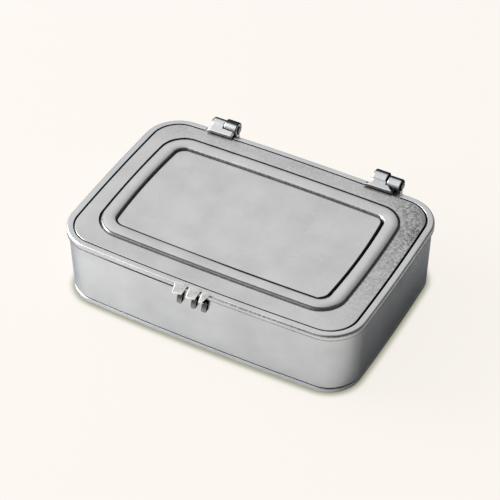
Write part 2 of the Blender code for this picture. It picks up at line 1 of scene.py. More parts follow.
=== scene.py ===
"""A pewter trinket box: its finished surfaces, its metal and the studio that it stands in.

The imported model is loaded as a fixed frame. The walls, the base, the lid's rim and its plate are rounded
profiles carried round the lid's bowed outline. The lobes of the catch are stacks of level sections, and the
hinges are made of rolled knuckles, swept straps and rounded slabs. Lengths are in metres, but in millimetres
in the classes of the catch and the hinges.
"""
import logging
import math
from dataclasses import dataclass, replace
from enum import Enum

import bmesh
import bpy
import numpy as np
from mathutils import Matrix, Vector


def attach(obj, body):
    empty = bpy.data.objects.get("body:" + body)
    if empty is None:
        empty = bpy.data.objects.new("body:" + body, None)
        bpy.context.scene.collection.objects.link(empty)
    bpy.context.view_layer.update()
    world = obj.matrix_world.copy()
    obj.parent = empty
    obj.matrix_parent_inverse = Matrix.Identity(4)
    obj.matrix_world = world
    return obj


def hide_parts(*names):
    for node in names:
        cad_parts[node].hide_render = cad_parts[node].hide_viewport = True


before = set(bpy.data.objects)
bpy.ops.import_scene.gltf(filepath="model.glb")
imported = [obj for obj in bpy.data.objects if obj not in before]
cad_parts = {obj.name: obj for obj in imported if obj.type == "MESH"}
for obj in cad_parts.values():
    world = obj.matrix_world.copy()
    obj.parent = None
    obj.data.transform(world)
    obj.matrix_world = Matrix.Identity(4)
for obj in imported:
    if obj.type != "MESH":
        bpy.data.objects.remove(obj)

Pair = tuple[float, float]
Triple = tuple[float, float, float]
Colour = tuple[float, float, float, float]
Row = tuple[float, ...]
Table = tuple[Row, ...]
Array = np.ndarray
Piece = bpy.types.Object
Socket = bpy.types.NodeSocket
Fed = dict[int | str, object]

MM = 0.001
BOX_Y = -1.05 * MM  # the box's own middle; hinges and catch reach out from it unequally
MIDDLE = np.array((0.0, BOX_Y, 0.0))
# A value for each point: tarnish and painted shade above 0, painted highlights below 0.
PATINA_AND_PAINTED_LIGHT = "patina_and_painted_light"
HIDDEN = 0.1  # the patina of faces inside the box
WELD = 1e-7
SUPPORT = 0.25 * MM  # how far beyond a rounded corner its edges get one more point
SHARP = math.radians(50)
LOG = logging.getLogger("trinket_box")


class Carrier(Enum):
    """The moving body that a piece rides on."""

    BOX = "box_body"
    LID = "lid"


class Slot(Enum):
    """Names of material slots for new pieces, which nothing in this script uses."""

    BODY = "pewter_body"
    LID = "pewter_lid"
    FITTINGS = "pewter_fittings"


# Shapes


def held(values: Array) -> Array:
    """Hold values between 0 and 1."""
    return np.clip(values, 0, 1)


def ramp(values: Array, start: float, end: float) -> Array:
    """How far values have come from a start to an end, held between 0 and 1."""
    return held((values - start) / (end - start))


@dataclass(frozen=True)
class BowedOutline:
    """A rounded rectangle whose four sides bow outward, centred on the box.

    The plain rounded rectangle is smaller by the bows. A point (x, y) of it is pushed out along each axis by
    the bow of the side it faces times one less the square of its place along that side. An inset counts on
    the long sides only by long_share. The long sides have points at plus and minus each of the stops.
    """

    length: float
    depth: float
    corner: float
    bow_long: float
    bow_short: float
    stops: Row = ()
    long_share: float = 1.0
    corner_steps: int = 20
    side_steps: int = 48

    def ring(self, inset: float, height: float) -> Array:
        """Work out the outline, moved inward, as one ring of points.

        Args:
            inset: How far the ring lies inside the outline.
            height: Its z.

        Returns:
            An (n, 3) array, anticlockwise from the right end of the back corner.
        """
        corner = self.corner - inset
        half_x = self.length / 2 - inset - self.bow_short
        half_y = self.depth / 2 - inset * self.long_share - self.bow_long
        plain = []
        for quarter, (sign_x, sign_y) in enumerate(((1, 1), (-1, 1), (-1, -1), (1, -1))):
            angle = math.radians(90) * (quarter + np.linspace(0, 1, self.corner_steps + 1))
            centre = (sign_x * (half_x - corner), sign_y * (half_y - corner))
            plain.append(corner * np.column_stack((np.cos(angle), np.sin(angle))) + centre)
            if quarter % 2 == 0:
                along = self.long_stops(half_x - corner)[1:-1]
                side = (sign_x * along, np.full(along.size, sign_y * half_y))
            else:
                along = np.linspace(half_y - corner, corner - half_y, self.side_steps // 2 + 1)[1:-1]
                side = (np.full(along.size, sign_x * half_x), sign_y * along)
            plain.append(np.column_stack(side))
        x, y = np.vstack(plain).T
        out_x = x * (1 + self.bow_short / half_x * (1 - (y / half_y) ** 2))
        out_y = y * (1 + self.bow_long / half_y * (1 - (x / half_x) ** 2))
        return np.column_stack((out_x, out_y + BOX_Y, np.full(x.size, height)))

    def long_stops(self, run: float) -> Array:
        """Divide a long side evenly, with the wanted stops among the places.

        Args:
            run: Half the length of the side's straight part.

        Returns:
            The places in x, from the right end to the left.
        """
        even = np.linspace(run, -run, self.side_steps + 1)
        wanted = np.array([stop for place in self.stops for stop in (place, -place)])
        return np.unique(np.round(np.concatenate((even, wanted)), 7))[::-1]

    def place_of(self, x: float) -> int:
        """Find the ring's point on the back side that is nearest to an x.

        Args:
            x: Where to look.

        Returns:
            The point's index in the ring.
        """
        ring = self.ring(0.0, 0.0)
        back = np.flatnonzero(ring[:, 1] > self.depth / 2 - self.bow_long + BOX_Y - MM)
        return int(back[np.argmin(np.abs(ring[back, 0] - x))])


def rounded_profile(corners: list[Triple], steps: int = 5) -> Array:
    """Round the corners of a closed flat profile.

    Each corner (u, v, radius) becomes an arc that touches both of its edges, with one more point on each
    edge close to the arc, so that the flats next to it stay flat when shaded smooth.

    Args:
        corners: The profile's corners in order, each with its radius.
        steps: Facets of each arc.

    Returns:
        An (n, 2) array of points.
    """
    points: list[Array] = []
    spots = np.array([corner[:2] for corner in corners])
    neighbours = np.roll(spots, 1, axis=0), np.roll(spots, -1, axis=0)
    for here, before, after, (_, _, radius) in zip(spots, *neighbours, corners):
        if radius <= 0:
            points.append(here)
            continue
        back_way = (before - here) / np.linalg.norm(before - here)
        ahead_way = (after - here) / np.linalg.norm(after - here)
        half_angle = math.acos(float(np.clip(back_way @ ahead_way, -1, 1))) / 2
        reach = radius / math.tan(half_angle)
        middle = back_way + ahead_way
        centre = here + middle / np.linalg.norm(middle) * radius / math.sin(half_angle)
        start = here + back_way * reach - centre
        end = here + ahead_way * reach - centre
        whole_turn = math.atan2(start[0] * end[1] - start[1] * end[0], float(start @ end))
        turn = whole_turn * np.linspace(0, 1, steps + 1)[:, None]
        arc = centre + start * np.cos(turn) + np.array((-start[1], start[0])) * np.sin(turn)
        support = reach + min(SUPPORT, reach)
        points += [here + back_way * support, *arc, here + ahead_way * support]
    return np.array(points)


def facing(ring: Array, way: Pair) -> Array:
    """How far each point of a ring faces a way in plan.

    Args:
        ring: An (n, 3) anticlockwise ring.
        way: A level direction (x, y).

    Returns:
        For each point the cosine between its outward normal and the way.
    """
    along = np.roll(ring, -1, axis=0) - np.roll(ring, 1, axis=0)
    normal = np.column_stack((along[:, 1], -along[:, 0]))
    length = np.maximum(np.linalg.norm(normal, axis=1) * math.hypot(*way), 1e-9)
    return normal @ np.array(way) / length


def carried(profile: Array, outline: BowedOutline) -> Array:
    """Carry a profile of (inset, height) points round an outline, which gives one ring for each point."""
    return np.stack([outline.ring(inset, height) for inset, height in profile])


def shrunk(ring: Array, share: float) -> Array:
    """Shrink a level ring to a share of its size towards the box's middle."""
    return (ring - MIDDLE) * (share, share, 1.0) + MIDDLE


def from_mm(points: Array) -> Array:
    """Turn points in millimetres from the box's middle into places in the frame."""
    return points * MM + MIDDLE


def in_scene(name: str, data: bpy.types.ID) -> Piece:
    """Make an object and put it in the scene.

    Args:
        name: The object's name.
        data: What it holds.

    Returns:
        The new object.
    """
    thing = bpy.data.objects.new(name, data)
    bpy.context.scene.collection.objects.link(thing)
    return thing


def finished(name: str, mesh: bpy.types.Mesh, shape: bmesh.types.BMesh) -> Piece:
    """Write a worked shape into its mesh, shade it smooth between its sharp edges and put it in the scene.

    Args:
        name: The object's name.
        mesh: The mesh to fill.
        shape: The shape, which is freed.

    Returns:
        The object that holds the mesh.
    """
    shape.to_mesh(mesh)
    shape.free()
    mesh.shade_smooth()
    mesh.set_sharp_from_angle(angle=SHARP)
    return in_scene(name, mesh)


def grid_piece(name: str, points: Array, patina_and_painted_light: Array, looped: bool = False) -> Piece:
    """Skin a stack of closed rings of points, weld it and point its faces out.

    Args:
        name: The piece's name.
        points: A (rows, columns, 3) array, one row for each ring.
        patina_and_painted_light: From -1 (painted highlight) to 1 (tarnish, and painted shade), for each
        row or for each point.
        looped: Whether the last ring joins the first. If not, both are closed with a flat face.

    Returns:
        The new object.
    """
    rows, columns = points.shape[:2]
    number = np.arange(rows * columns).reshape(rows, columns)
    around = np.roll(number, -1, axis=1)
    quads = np.stack((number, around, np.roll(around, -1, axis=0), np.roll(number, -1, axis=0)), axis=-1)
    faces = (quads if looped else quads[:-1]).reshape(-1, 4).tolist()
    if not looped:
        faces += [number[0].tolist(), number[-1][::-1].tolist()]
    mesh = bpy.data.meshes.new(name)
    mesh.from_pydata(points.reshape(-1, 3).tolist(), [], faces)
    layer = mesh.attributes.new(PATINA_AND_PAINTED_LIGHT, "FLOAT", "POINT")
    spread = np.broadcast_to(patina_and_painted_light.reshape(rows, -1), (rows, columns))
    layer.data.foreach_set("value", np.ascontiguousarray(spread, dtype=np.float32).ravel())
    shape = bmesh.new()
    shape.from_mesh(mesh)
    bmesh.ops.remove_doubles(shape, verts=shape.verts, dist=WELD)
    bmesh.ops.recalc_face_normals(shape, faces=shape.faces)
    return finished(name, mesh, shape)


def joined(name: str, pieces: list[Piece]) -> Piece:
    """Put the meshes of several objects into one object.

    Args:
        name: The new object's name.
        pieces: The objects, which are removed.

    Returns:
        The new object.
    """
    shape = bmesh.new()
    for piece in pieces:
        shape.from_mesh(piece.data)
        bpy.data.objects.remove(piece, do_unlink=True)
    return finished(name, bpy.data.meshes.new(name), shape)


# Metal


class Wiring:
    """Adds nodes to a node tree and joins them."""

    def __init__(self, tree: bpy.types.NodeTree) -> None:
        """Take the tree to work on."""
        self.tree = tree

    def feed(self, node: bpy.types.Node, fed: Fed) -> None:
        """Link a node's inputs to sockets, or set their values.

        Args:
            node: The node.
            fed: What its inputs get, by their names or numbers.
        """
        for name, value in fed.items():
            if isinstance(value, Socket):
                self.tree.links.new(value, node.inputs[name])
            else:
                node.inputs[name].default_value = value

    def add(self, kind: str, fed: Fed, **settings: object) -> bpy.types.Node:
        """Add a node, set its properties and feed its inputs.

        Args:
            kind: The node's type.
            fed: What its inputs get, by their names or numbers.
            settings: Its properties.

        Returns:
            The new node.
        """
        node = self.tree.nodes.new(kind)
        for name, value in settings.items():
            setattr(node, name, value)
        self.feed(node, fed)
        return node

    def spread(self, value: object, low: float, high: float, new_low: float = 0.0, new_high: float = 1.0,
               kind: str = "LINEAR") -> Socket:
        """Stretch a range of values onto another, held at both ends."""
        fed = dict(enumerate((value, low, high, new_low, new_high)))
        return self.add("ShaderNodeMapRange", fed, clamp=True, interpolation_type=kind).outputs[0]

    def maths(self, operation: str, first: object, second: object) -> Socket:
        """One arithmetic step."""
        return self.add("ShaderNodeMath", {0: first, 1: second}, operation=operation).outputs[0]

    def mixed(self, factor: object, first: object, second: object) -> Socket:
        """Mix two colours."""
        return self.add("ShaderNodeMix", {"Factor": factor, 6: first, 7: second}, data_type="RGBA").outputs[2]


class Recipe(Wiring):
    """One material in the making, on the piece's own coordinates."""

    def __init__(self, name: str) -> None:
        """Start a material that has only its shader and its output.

        Args:
            name: The material's name.
        """
        self.material = bpy.data.materials.new(name)
        self.material.use_nodes = True
        super().__init__(self.material.node_tree)
        self.shader = self.tree.nodes["Principled BSDF"]
        self.place = self.add("ShaderNodeTexCoord", {}).outputs["Object"]

    def noise(self, scale: float, detail: float = 2.0, roughness: float = 0.5) -> Socket:
        """Smooth noise from 0 to 1 with the given number of lumps to the metre."""
        fed = {"Vector": self.place, "Scale": scale, "Detail": detail, "Roughness": roughness}
        return self.add("ShaderNodeTexNoise", fed).outputs["Fac"]

    def cells(self, scale: float) -> Socket:
        """Distance to the nearest of the scattered points, in cells."""
        return self.add("ShaderNodeTexVoronoi", {"Vector": self.place, "Scale": scale}).outputs["Distance"]

    def bump(self, height: Socket, depth: float, **before: object) -> Socket:
        """Raise the surface by a height from 0 to 1 times a depth, on top of the bumps before it."""
        return self.add("ShaderNodeBump", {"Distance": depth, "Height": height, **before}).outputs["Normal"]


def grey(value: float, warmth: float = 0.0) -> Colour:
    """A grey from an 8-bit tone, a little warmer or cooler."""
    linear = ((value / 255 + 0.055) / 1.055) ** 2.4
    return (linear * (1 + warmth), linear, linear * (1 - warmth), 1.0)


@dataclass(frozen=True)
class Pewter:
    """Satin cast pewter: softly mottled, finely pitted and faintly uneven.

    Tones are 8-bit greys, scales are lumps or cells to the metre, and depths are in metres. Between the
    patinas in even_from the tarnish, and the painted shade in its tone, goes from patchy to even.
    """

    name: str
    tone: float
    warmth: float
    roughness: float
    pitting: float
    swell: float
    edge_tint: Colour = (0.30, 0.32, 0.36, 1.0)
    mottle_scale: float = 70.0
    mottle_tones: Pair = (-7, 5)
    noise_span: Pair = (0.3, 0.7)
    pit_scale: float = 700.0
    pit_size: float = 0.22
    pit_tone: float = 0.55
    pit_depth: float = 0.05 * MM
    cluster_scale: float = 160.0
    cluster_span: Pair = (0.52, 0.7)
    grain_scale: float = 900.0
    grain_depth: float = 0.008 * MM
    grain_roughness: Pair = (-0.05, 0.06)
    swell_scale: float = 45.0
    patch_scale: float = 1000.0
    patch_span: Pair = (0.40, 0.60)
    patch_gain: Pair = (0.25, 1.75)
    even_from: Pair = (0.45, 0.6)
    tarnish_and_shade_tone: float = 24
    painted_highlight_tone: float = 252

    def material(self) -> bpy.types.Material:
        """Build the material.

        Light tarnish is patchy and becomes even as it deepens. Its dark tone also paints shade where the
        patina attribute stands for shade. A patina below 0 paints a highlight on the metal.

        Returns:
            A metal whose colour drifts over centimetres, with grain, clusters of pits and a slow swell.
        """
        recipe = Recipe(self.name)
        mottle = recipe.spread(recipe.noise(self.mottle_scale), *self.noise_span)
        grain = recipe.noise(self.grain_scale, detail=3.0, roughness=0.6)
        tones = (grey(self.tone + change, self.warmth) for change in self.mottle_tones)
        pit_colour = grey(self.tone * self.pit_tone, self.warmth)
        specks = recipe.spread(recipe.cells(self.pit_scale), 0.0, self.pit_size, 1.0, 0.0)
        clusters = recipe.spread(recipe.noise(self.cluster_scale), *self.cluster_span, 0.0, self.pitting)
        pits = recipe.maths("MULTIPLY", specks, clusters)
        colour = recipe.mixed(pits, recipe.mixed(mottle, *tones), pit_colour)
        patina_and_painted_light = recipe.add("ShaderNodeAttribute", {}, attribute_name=PATINA_AND_PAINTED_LIGHT).outputs["Fac"]
        patches = recipe.noise(self.patch_scale, detail=4.0, roughness=0.75)
        patches = recipe.spread(patches, *self.patch_span, *self.patch_gain)
        even = recipe.spread(patina_and_painted_light, *self.even_from)
        gain = recipe.add("ShaderNodeMix", {"Factor": even, 2: patches, 3: 1.0}, data_type="FLOAT").outputs[0]
        # The tarnish tone also paints shade: dark lines, bands and sides stand in for shade and dark
        # reflections.
        tarnish_and_shade = recipe.spread(recipe.maths("MULTIPLY", patina_and_painted_light, gain), 0.0, 1.0)
        colour = recipe.mixed(tarnish_and_shade, colour, grey(self.tarnish_and_shade_tone))
        # Below 0 the attribute paints a highlight in a near-white tone.
        colour = recipe.mixed(recipe.spread(patina_and_painted_light, 0.0, -1.0), colour, grey(self.painted_highlight_tone))
        roughness = (self.roughness + change for change in self.grain_roughness)
        normal = recipe.bump(recipe.noise(self.swell_scale, detail=1.0), self.swell)
        normal = recipe.bump(grain, self.grain_depth, Normal=normal)
        normal = recipe.bump(recipe.maths("SUBTRACT", 1.0, pits), self.pit_depth, Normal=normal)
        recipe.feed(recipe.shader, {
            "Base Color": colour, "Metallic": 1.0, "Specular Tint": self.edge_tint,
            "Roughness": recipe.spread(grain, *self.noise_span, *roughness), "Normal": normal})
        return recipe.material


WALL_PEWTER = Pewter("satin_pewter_walls", tone=200, warmth=-0.045, roughness=0.34, pitting=0.10,
                     swell=0.05 * MM)
PLATE_PEWTER = replace(WALL_PEWTER, name="satin_pewter_lid", warmth=0.004, roughness=0.32, pitting=0.7)
RIM_PEWTER = replace(PLATE_PEWTER, name="satin_pewter_rim", warmth=-0.016)
FITTING_PEWTER = Pewter("worn_pewter_fittings", tone=208, warmth=-0.02, roughness=0.30, pitting=0.2,
                        swell=0.03 * MM)
PIN_METAL = Pewter("dull_pin_wire", tone=150, warmth=0.0, roughness=0.35, pitting=0.1, swell=0.01 * MM)


def dress(piece: Piece, metal: bpy.types.Material) -> None:
    """Give a piece one material in place of those it has."""
    piece.data.materials.clear()
    piece.data.materials.append(metal)


def mount(piece: Piece, metal: bpy.types.Material, carrier: Carrier, node: str) -> None:
    """Dress a piece, let it ride on its body and hide the CAD node that it stands for.

    Args:
        piece: The finished piece.
        metal: Its material.
        carrier: The body that carries it.
        node: The CAD node that it stands for.
    """
    dress(piece, metal)
    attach(piece, carrier.value)
    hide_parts(node)
    LOG.info("%s rides on %s for %s", piece.name, carrier.value, node)


# Box


@dataclass
class Sizes:
    """Sizes that the body and the lid share."""

    length: float = 130.0 * MM
    depth: float = 88.8 * MM
    corner: float = 14.0 * MM
    bow_long: float = 1.45 * MM
    bow_short: float = 0.9 * MM
    base_thickness: float = 2.1 * MM
    base_groove: float = 0.5 * MM
    wall_top: float = 28.65 * MM
    seat_gap: float = 0.3 * MM
    plate_top: float = 31.6 * MM
    overhang: float = 0.8 * MM
    draft: float = 0.65 * MM
    wall_thickness: float = 2.2 * MM
    rim_long_share: float = 0.85
    notches: Table = ((-43.9 * MM, -30.5 * MM), (29.3 * MM, 45.1 * MM))

    def outline(self, stopped: bool = False) -> BowedOutline:
        """The lid's outline, with stops at the ends of the rim's notches if they are wanted."""
        stops = tuple(abs(end) for notch in self.notches for end in notch) if stopped else ()
        return BowedOutline(self.length, self.depth, self.corner, self.bow_long, self.bow_short, stops)

    def rim_outline(self, stopped: bool = False) -> BowedOutline:
        """The outline for the rim and the plate, along whose long sides the rim is narrower."""
        return replace(self.outline(stopped), long_share=self.rim_long_share)


@dataclass
class Body:
    """The walls and the base plate. Tarnish in the gap below the rim ends between the insets seam_ends."""

    sizes: Sizes
    wall_round: float = 0.35 * MM
    seam_ends: Pair = (0.6 * MM, 0.8 * MM)
    foot_round: float = 0.6 * MM
    rib_width: float = 1.4 * MM
    rib_height: float = 1.7 * MM
    flats_reach: float = 36.0 * MM
    corner_left: float = 2.0 * MM
    middle_share: float = 0.1

    def walls(self) -> Piece:
        """Carry the walls' rounded section, a little further in at the foot, round the outline.

        Returns:
            The walls, tarnished in the gaps above and below them.
        """
        size = self.sizes
        foot, top = size.base_thickness + size.base_groove, size.wall_top
        top_in, foot_in = size.overhang, size.overhang + size.draft
        section = rounded_profile([
            (foot_in, foot, self.wall_round), (top_in, top, self.wall_round),
            *((top_in + end, top, 0.0) for end in self.seam_ends),
            (top_in + size.wall_thickness, top, self.wall_round),
            (foot_in + size.wall_thickness, foot, self.wall_round)])
        inset, height = section.T
        at_top = (height > top - 0.1 * MM) & (inset < top_in + np.mean(self.seam_ends))
        at_foot = height < foot + 0.12 * MM
        patina_and_painted_light = np.where(at_top | at_foot, 1.0, 0.0)
        return grid_piece("walls_surface", carried(section, size.outline()), patina_and_painted_light, looped=True)

    def base(self) -> Piece:
        """Stack rings of the base plate from its under side's middle to its upper side's middle.

        Returns:
            The base plate with its rounded edge and the rib that centres the walls, tarnished below them.
        """
        size = self.sizes
        edge = size.overhang + size.draft
        rib_out = edge + size.wall_thickness + size.seat_gap
        rib_in = rib_out + self.rib_width
        top = size.base_thickness
        section = rounded_profile([
            (self.flats_reach, 0.0, 0.0), (edge, 0.0, self.foot_round), (edge, top, self.foot_round),
            (rib_out, top, 0.1 * MM), (rib_out, top + self.rib_height, 0.3 * MM),
            (rib_in, top + self.rib_height, 0.3 * MM), (rib_in, top, 0.2 * MM), (self.flats_reach, top, 0.0)])
        rings = [self.sunk_ring(size.outline(), inset, height) for inset, height in section]
        inset, height = section.T
        below_walls = (height > top - 0.05 * MM) & (inset > edge + 0.3 * MM) & (inset < rib_out - 0.3 * MM)
        patina_and_painted_light = np.where(below_walls, 1.0, np.where(inset > rib_out, HIDDEN, 0.0))
        return grid_piece("base_surface", np.stack(rings), patina_and_painted_light)

    def sunk_ring(self, outline: BowedOutline, inset: float, height: float) -> Array:
        """Work out a ring of the outline; past the corner's radius it shrinks towards the middle instead.

        Args:
            outline: The outline to follow.
            inset: How far inside it the ring lies.
            height: The ring's z.

        Returns:
            An (n, 3) array.
        """
        deepest = outline.corner - self.corner_left
        ring = outline.ring(min(inset, deepest), height)
        return shrunk(ring, self.middle_share) if inset > deepest else ring

    def build(self) -> None:
        """Make and mount the body's pieces."""
        metal = WALL_PEWTER.material()
        mount(self.walls(), metal, Carrier.BOX, "body_walls")
        mount(self.base(), metal, Carrier.BOX, "base_plate")


@dataclass
class Lid:
    """The rim with its notches, and the plate with its raised frame.

    The fields named line are those of the painted dark line along the rim's front, which stands in for shade
    and dark reflection and steps up behind the catch's left ear: its heights and half widths before and after
    that, and its depth at places in mm. The rows of outer_side and inner_side cross the frame's two sides:
    the inset and height in mm, the darkening on the back and left, and the darkening on the front and right;
    this is patina in the grooves and painted shade on the sides. The fields named reach and spill say how
    far, in mm, and how strongly the painted shade spills from the grooves onto what lies beside them. The
    flat round the frame has a least tarnish, one that grows to the right and rear and one that grows to the
    back, between places in mm. The direction named shaded_way is the back and left, where the edges get
    painted shade. The fields named gain say how soon a side counts as facing a way.
    """

    sizes: Sizes
    rim_width: float = 3.0 * MM
    rim_gap: float = 0.5 * MM
    rim_crown: float = 0.1 * MM
    rim_round: float = 0.9 * MM
    seam_ends: Pair = (1.3 * MM, 1.5 * MM)
    seam_tarnish: float = 0.9
    lower_edge: float = 0.45 * MM
    lower_shade: float = 0.6
    edge_shade: float = 0.4
    edge_share: float = 0.7
    edge_width: float = 0.5 * MM
    front_gain: float = 3.0
    shaded_way: Pair = (-0.6, 0.8)
    shaded_way_gain: float = 1.5
    line_rows: Pair = (29.4 * MM, 30.6 * MM)
    line_step: Pair = (-6.0 * MM, -4.0 * MM)
    line_heights: Pair = (29.3 * MM, 31.1 * MM)
    line_widths: Pair = (0.7 * MM, 0.42 * MM)
    line_places: Row = (-60.0, -45.0, -38.0, -30.0, -10.0, 8.0, 25.0, 41.0, 60.0)
    line_shade: Row = (0.1, 0.4, 0.9, 1.0, 1.0, 0.42, 0.42, 0.55, 0.6)
    ledge_width: float = 2.0 * MM
    ledge_start: float = 2.3 * MM
    ledge_seen: Pair = (0.9 * MM, 1.1 * MM)
    lip_clearance: float = 0.6 * MM
    lip_depth: float = 1.6 * MM
    plate_thickness: float = 1.6 * MM
    plate_flats: float = 4.0 * MM
    under_dark: float = 0.3 * MM
    right_dark: float = 0.45 * MM
    frame_length: float = 107.4 * MM
    frame_depth: float = 66.2 * MM
    frame_corner: float = 10.0 * MM
    frame_bow_long: float = 0.7 * MM
    frame_bow_short: float = 1.2 * MM
    frame_width: float = 6.0 * MM
    frame_height: float = 1.15 * MM
    frame_shoulder: float = 0.75 * MM
    frame_side: float = 0.45 * MM
    frame_shift: float = -0.45 * MM
    frame_margin: float = 1.8 * MM
    flange_levels: Triple = (0.03, 0.6, 0.10)
    flange_right: Pair = (40.0, 62.0)
    flange_rear: Pair = (-38.0, 38.0)
    flange_back: Pair = (25.0, 37.0)
    crown_rows: int = 19
    panel_sink: float = 0.2 * MM
    middle_shares: Row = (0.8, 0.4, 0.05)
    outer_side: Table = (
        *((inset, 0.0, 0.0, 0.0) for inset in (-1.4, -1.2, -1.0, -0.85, -0.7)), (-0.55, 0.0, 0.0, 0.35),
        (-0.42, -0.02, 0.2, 0.8), (-0.30, -0.14, 1.0, 1.0), (-0.14, -0.22, 1.0, 0.9), (0.02, -0.16, 1.0, 0.2),
        (0.08, 0.05, 1.0, 0.0), (0.17, 0.30, 0.9, 0.0), (0.27, 0.52, 0.8, 0.0), (0.33, 0.62, 0.7, 0.4),
        (0.38, 0.69, 0.3, 0.8))
    inner_side: Table = (
        (-0.38, 0.69, 0.1, 0.3), (-0.30, 0.58, 0.2, 0.7), (-0.18, 0.30, 0.3, 0.9), (-0.06, 0.0, 0.5, 1.0),
        (0.02, -0.30, 0.8, 1.0), (0.16, -0.40, 0.9, 1.0), (0.34, -0.34, 0.6, 1.0), (0.48, -0.22, 0.1, 0.3),
        *((inset, -0.20, 0.0, 0.0) for inset in (0.62, 0.76, 0.90, 1.05, 1.2, 1.35, 1.5)))
    outer_reach: Pair = (1.05, 1.2)
    inner_reach: Pair = (1.45, 1.0)
    reach_fade: float = 0.14
    top_reach: Pair = (0.35, 0.8)
    top_spill: float = 0.85
    edge_places: Row = (-38.0, -18.0, 10.0, 40.0)
    edge_reach: Row = (0.2, 0.35, 1.1, 1.1)
    edge_fade: float = 0.2
    edge_spill: float = 0.95

    @property
    def rim_bottom(self) -> float:
        """Height of the rim's under side."""
        return self.sizes.wall_top + self.sizes.seat_gap

    @property
    def rim_top(self) -> float:
        """Height of the rim's crown."""
        return self.sizes.plate_top + self.rim_crown

    def band_patina_and_shade(self, band: Array, ring: Array) -> Array:
        """Work out the patina and painted shade on the rim's outer band.

        Patina lies in the gap beside the plate and in the gap over the walls. Painted shade lies on the lower
        edge, on the upper edge at the back and left, and in the line along the front, which fades to nothing
        at its half width.

        Args:
            band: The band's section.
            ring: The rim's outer ring.

        Returns:
            An (m, n) array for the ring's points and the section's rows.
        """
        inset, height = band.T
        beside = (inset > self.rim_width - 0.12 * MM) & (height > self.rim_bottom + 0.2 * MM)
        below = (inset < np.mean(self.seam_ends)) & (height < self.rim_bottom + 0.1 * MM)
        outermost = inset < self.edge_width
        lower = outermost & (height - self.rim_bottom < self.lower_edge)
        upper = outermost & (self.rim_top - height < self.edge_share * self.rim_round)
        front = held(facing(ring, (0.0, -1.0)) * self.front_gain)
        away = held(facing(ring, self.shaded_way) * self.shaded_way_gain)
        centre = np.interp(ring[:, 0], self.line_step, self.line_heights)
        width = np.interp(ring[:, 0], self.line_step, self.line_widths)
        depth = front * np.interp(ring[:, 0] / MM, self.line_places, self.line_shade)
        line = held(2 - 2 * np.abs(height - centre[:, None]) / width[:, None])
        # Painted shade on the lower edge, on the upper edge at the back and left, and in the front line;
        # patina in the gaps.
        return np.maximum.reduce(np.broadcast_arrays(
            self.seam_tarnish * (beside | below), self.lower_shade * lower,
            self.edge_shade * upper * away[:, None], depth[:, None] * line * (inset < self.rim_round)))

    def ledge(self, outline: BowedOutline) -> Piece:
        """Carry the section of the ledge under the plate and of the lip in the walls round the outline.

        Args:
            outline: The lid's outline.

        Returns:
            The ledge and lip, tarnished where they show in the gap between rim and plate.
        """
        size = self.sizes
        top, low = size.plate_top - self.plate_thickness - size.seat_gap, size.wall_top - self.lip_depth
        ledge_in = self.rim_width + self.ledge_width
        lip_out = size.overhang + size.wall_thickness + self.lip_clearance
        section = rounded_profile([
            (self.ledge_start, self.rim_bottom, 0.0), (self.ledge_start, top, 0.0),
            *((self.rim_width + end, top, 0.0) for end in self.ledge_seen), (ledge_in, top, 0.2 * MM),
            (ledge_in, low, 0.2 * MM), (lip_out, low, 0.2 * MM), (lip_out, self.rim_bottom, 0.0)])
        inset, height = section.T
        seen = (height > top - 0.05 * MM) & (inset < self.rim_width + np.mean(self.ledge_seen))
        return grid_piece("rim_ledge", carried(section, outline), np.where(seen, self.seam_tarnish, HIDDEN),
                          looped=True)

    def rim(self) -> Piece:
        """Carry the outer band in two arcs between the notches, and the ledge and lip whole inside it.

        Returns:
            The rim.
        """
        outline = self.sizes.outline(stopped=True)
        rows = ((0.0, height, 0.0) for height in np.linspace(*self.line_rows, 6))
        band = rounded_profile([
            (0.0, self.rim_bottom, 0.3 * MM), *rows, (0.0, self.rim_top, self.rim_round),
            (self.rim_width, self.rim_top, 0.3 * MM), (self.rim_width, self.rim_bottom, 0.1 * MM),
            *((end, self.rim_bottom, 0.0) for end in reversed(self.seam_ends))])
        rings = carried(band, self.sizes.rim_outline(stopped=True)).transpose(1, 0, 2)
        patina_and_painted_light = self.band_patina_and_shade(band, outline.ring(0.0, self.rim_top))
        ends = [outline.place_of(end) for notch in self.sizes.notches for end in notch]
        arcs = (("rim_front", np.r_[ends[0]:len(rings), 0:ends[3] + 1]),
                ("rim_back", np.r_[ends[2]:ends[1] + 1]))
        pieces = [grid_piece(name, rings[arc], patina_and_painted_light[arc]) for name, arc in arcs]
        return joined("rim_surface", [*pieces, self.ledge(outline)])

    def frame_ring(self, offset: float, height: float) -> Array:
        """Work out a ring of the raised frame's own outline.

        Args:
            offset: How far it lies inside the frame's outer edge.
            height: Its z.

        Returns:
            An (n, 3) array.
        """
        outline = BowedOutline(self.frame_length, self.frame_depth, self.frame_corner, self.frame_bow_long,
                               self.frame_bow_short)
        return outline.ring(offset, height) + (self.frame_shift, 0.0, 0.0)

    def frame_section(self) -> Array:
        """Work out the section of the raised frame from its outer groove to its inner groove.

        A narrow groove runs along each foot. From it the steep sides rise to the shoulders, and between these
        the height follows a parabola across the frame.

        Returns:
            An (n, 4) array of insets from the frame's outer edge, heights above the plate, and the darkening
            on the back and left and on the front and right: patina in the grooves and painted shade on the
            sides.
        """
        crown = np.linspace(self.frame_side, self.frame_width - self.frame_side, self.crown_rows)
        across = (crown - self.frame_width / 2) / (self.frame_width / 2 - self.frame_side)
        rise = self.frame_shoulder + (self.frame_height - self.frame_shoulder) * (1 - across ** 2)
        outer = np.array(self.outer_side) * (MM, MM, 1.0, 1.0)
        inner = np.array(self.inner_side) * (MM, MM, 1.0, 1.0) + (self.frame_width, 0.0, 0.0, 0.0)
        clean = np.zeros(crown.size)
        return np.vstack((outer, np.column_stack((crown, rise, clean, clean)), inner))

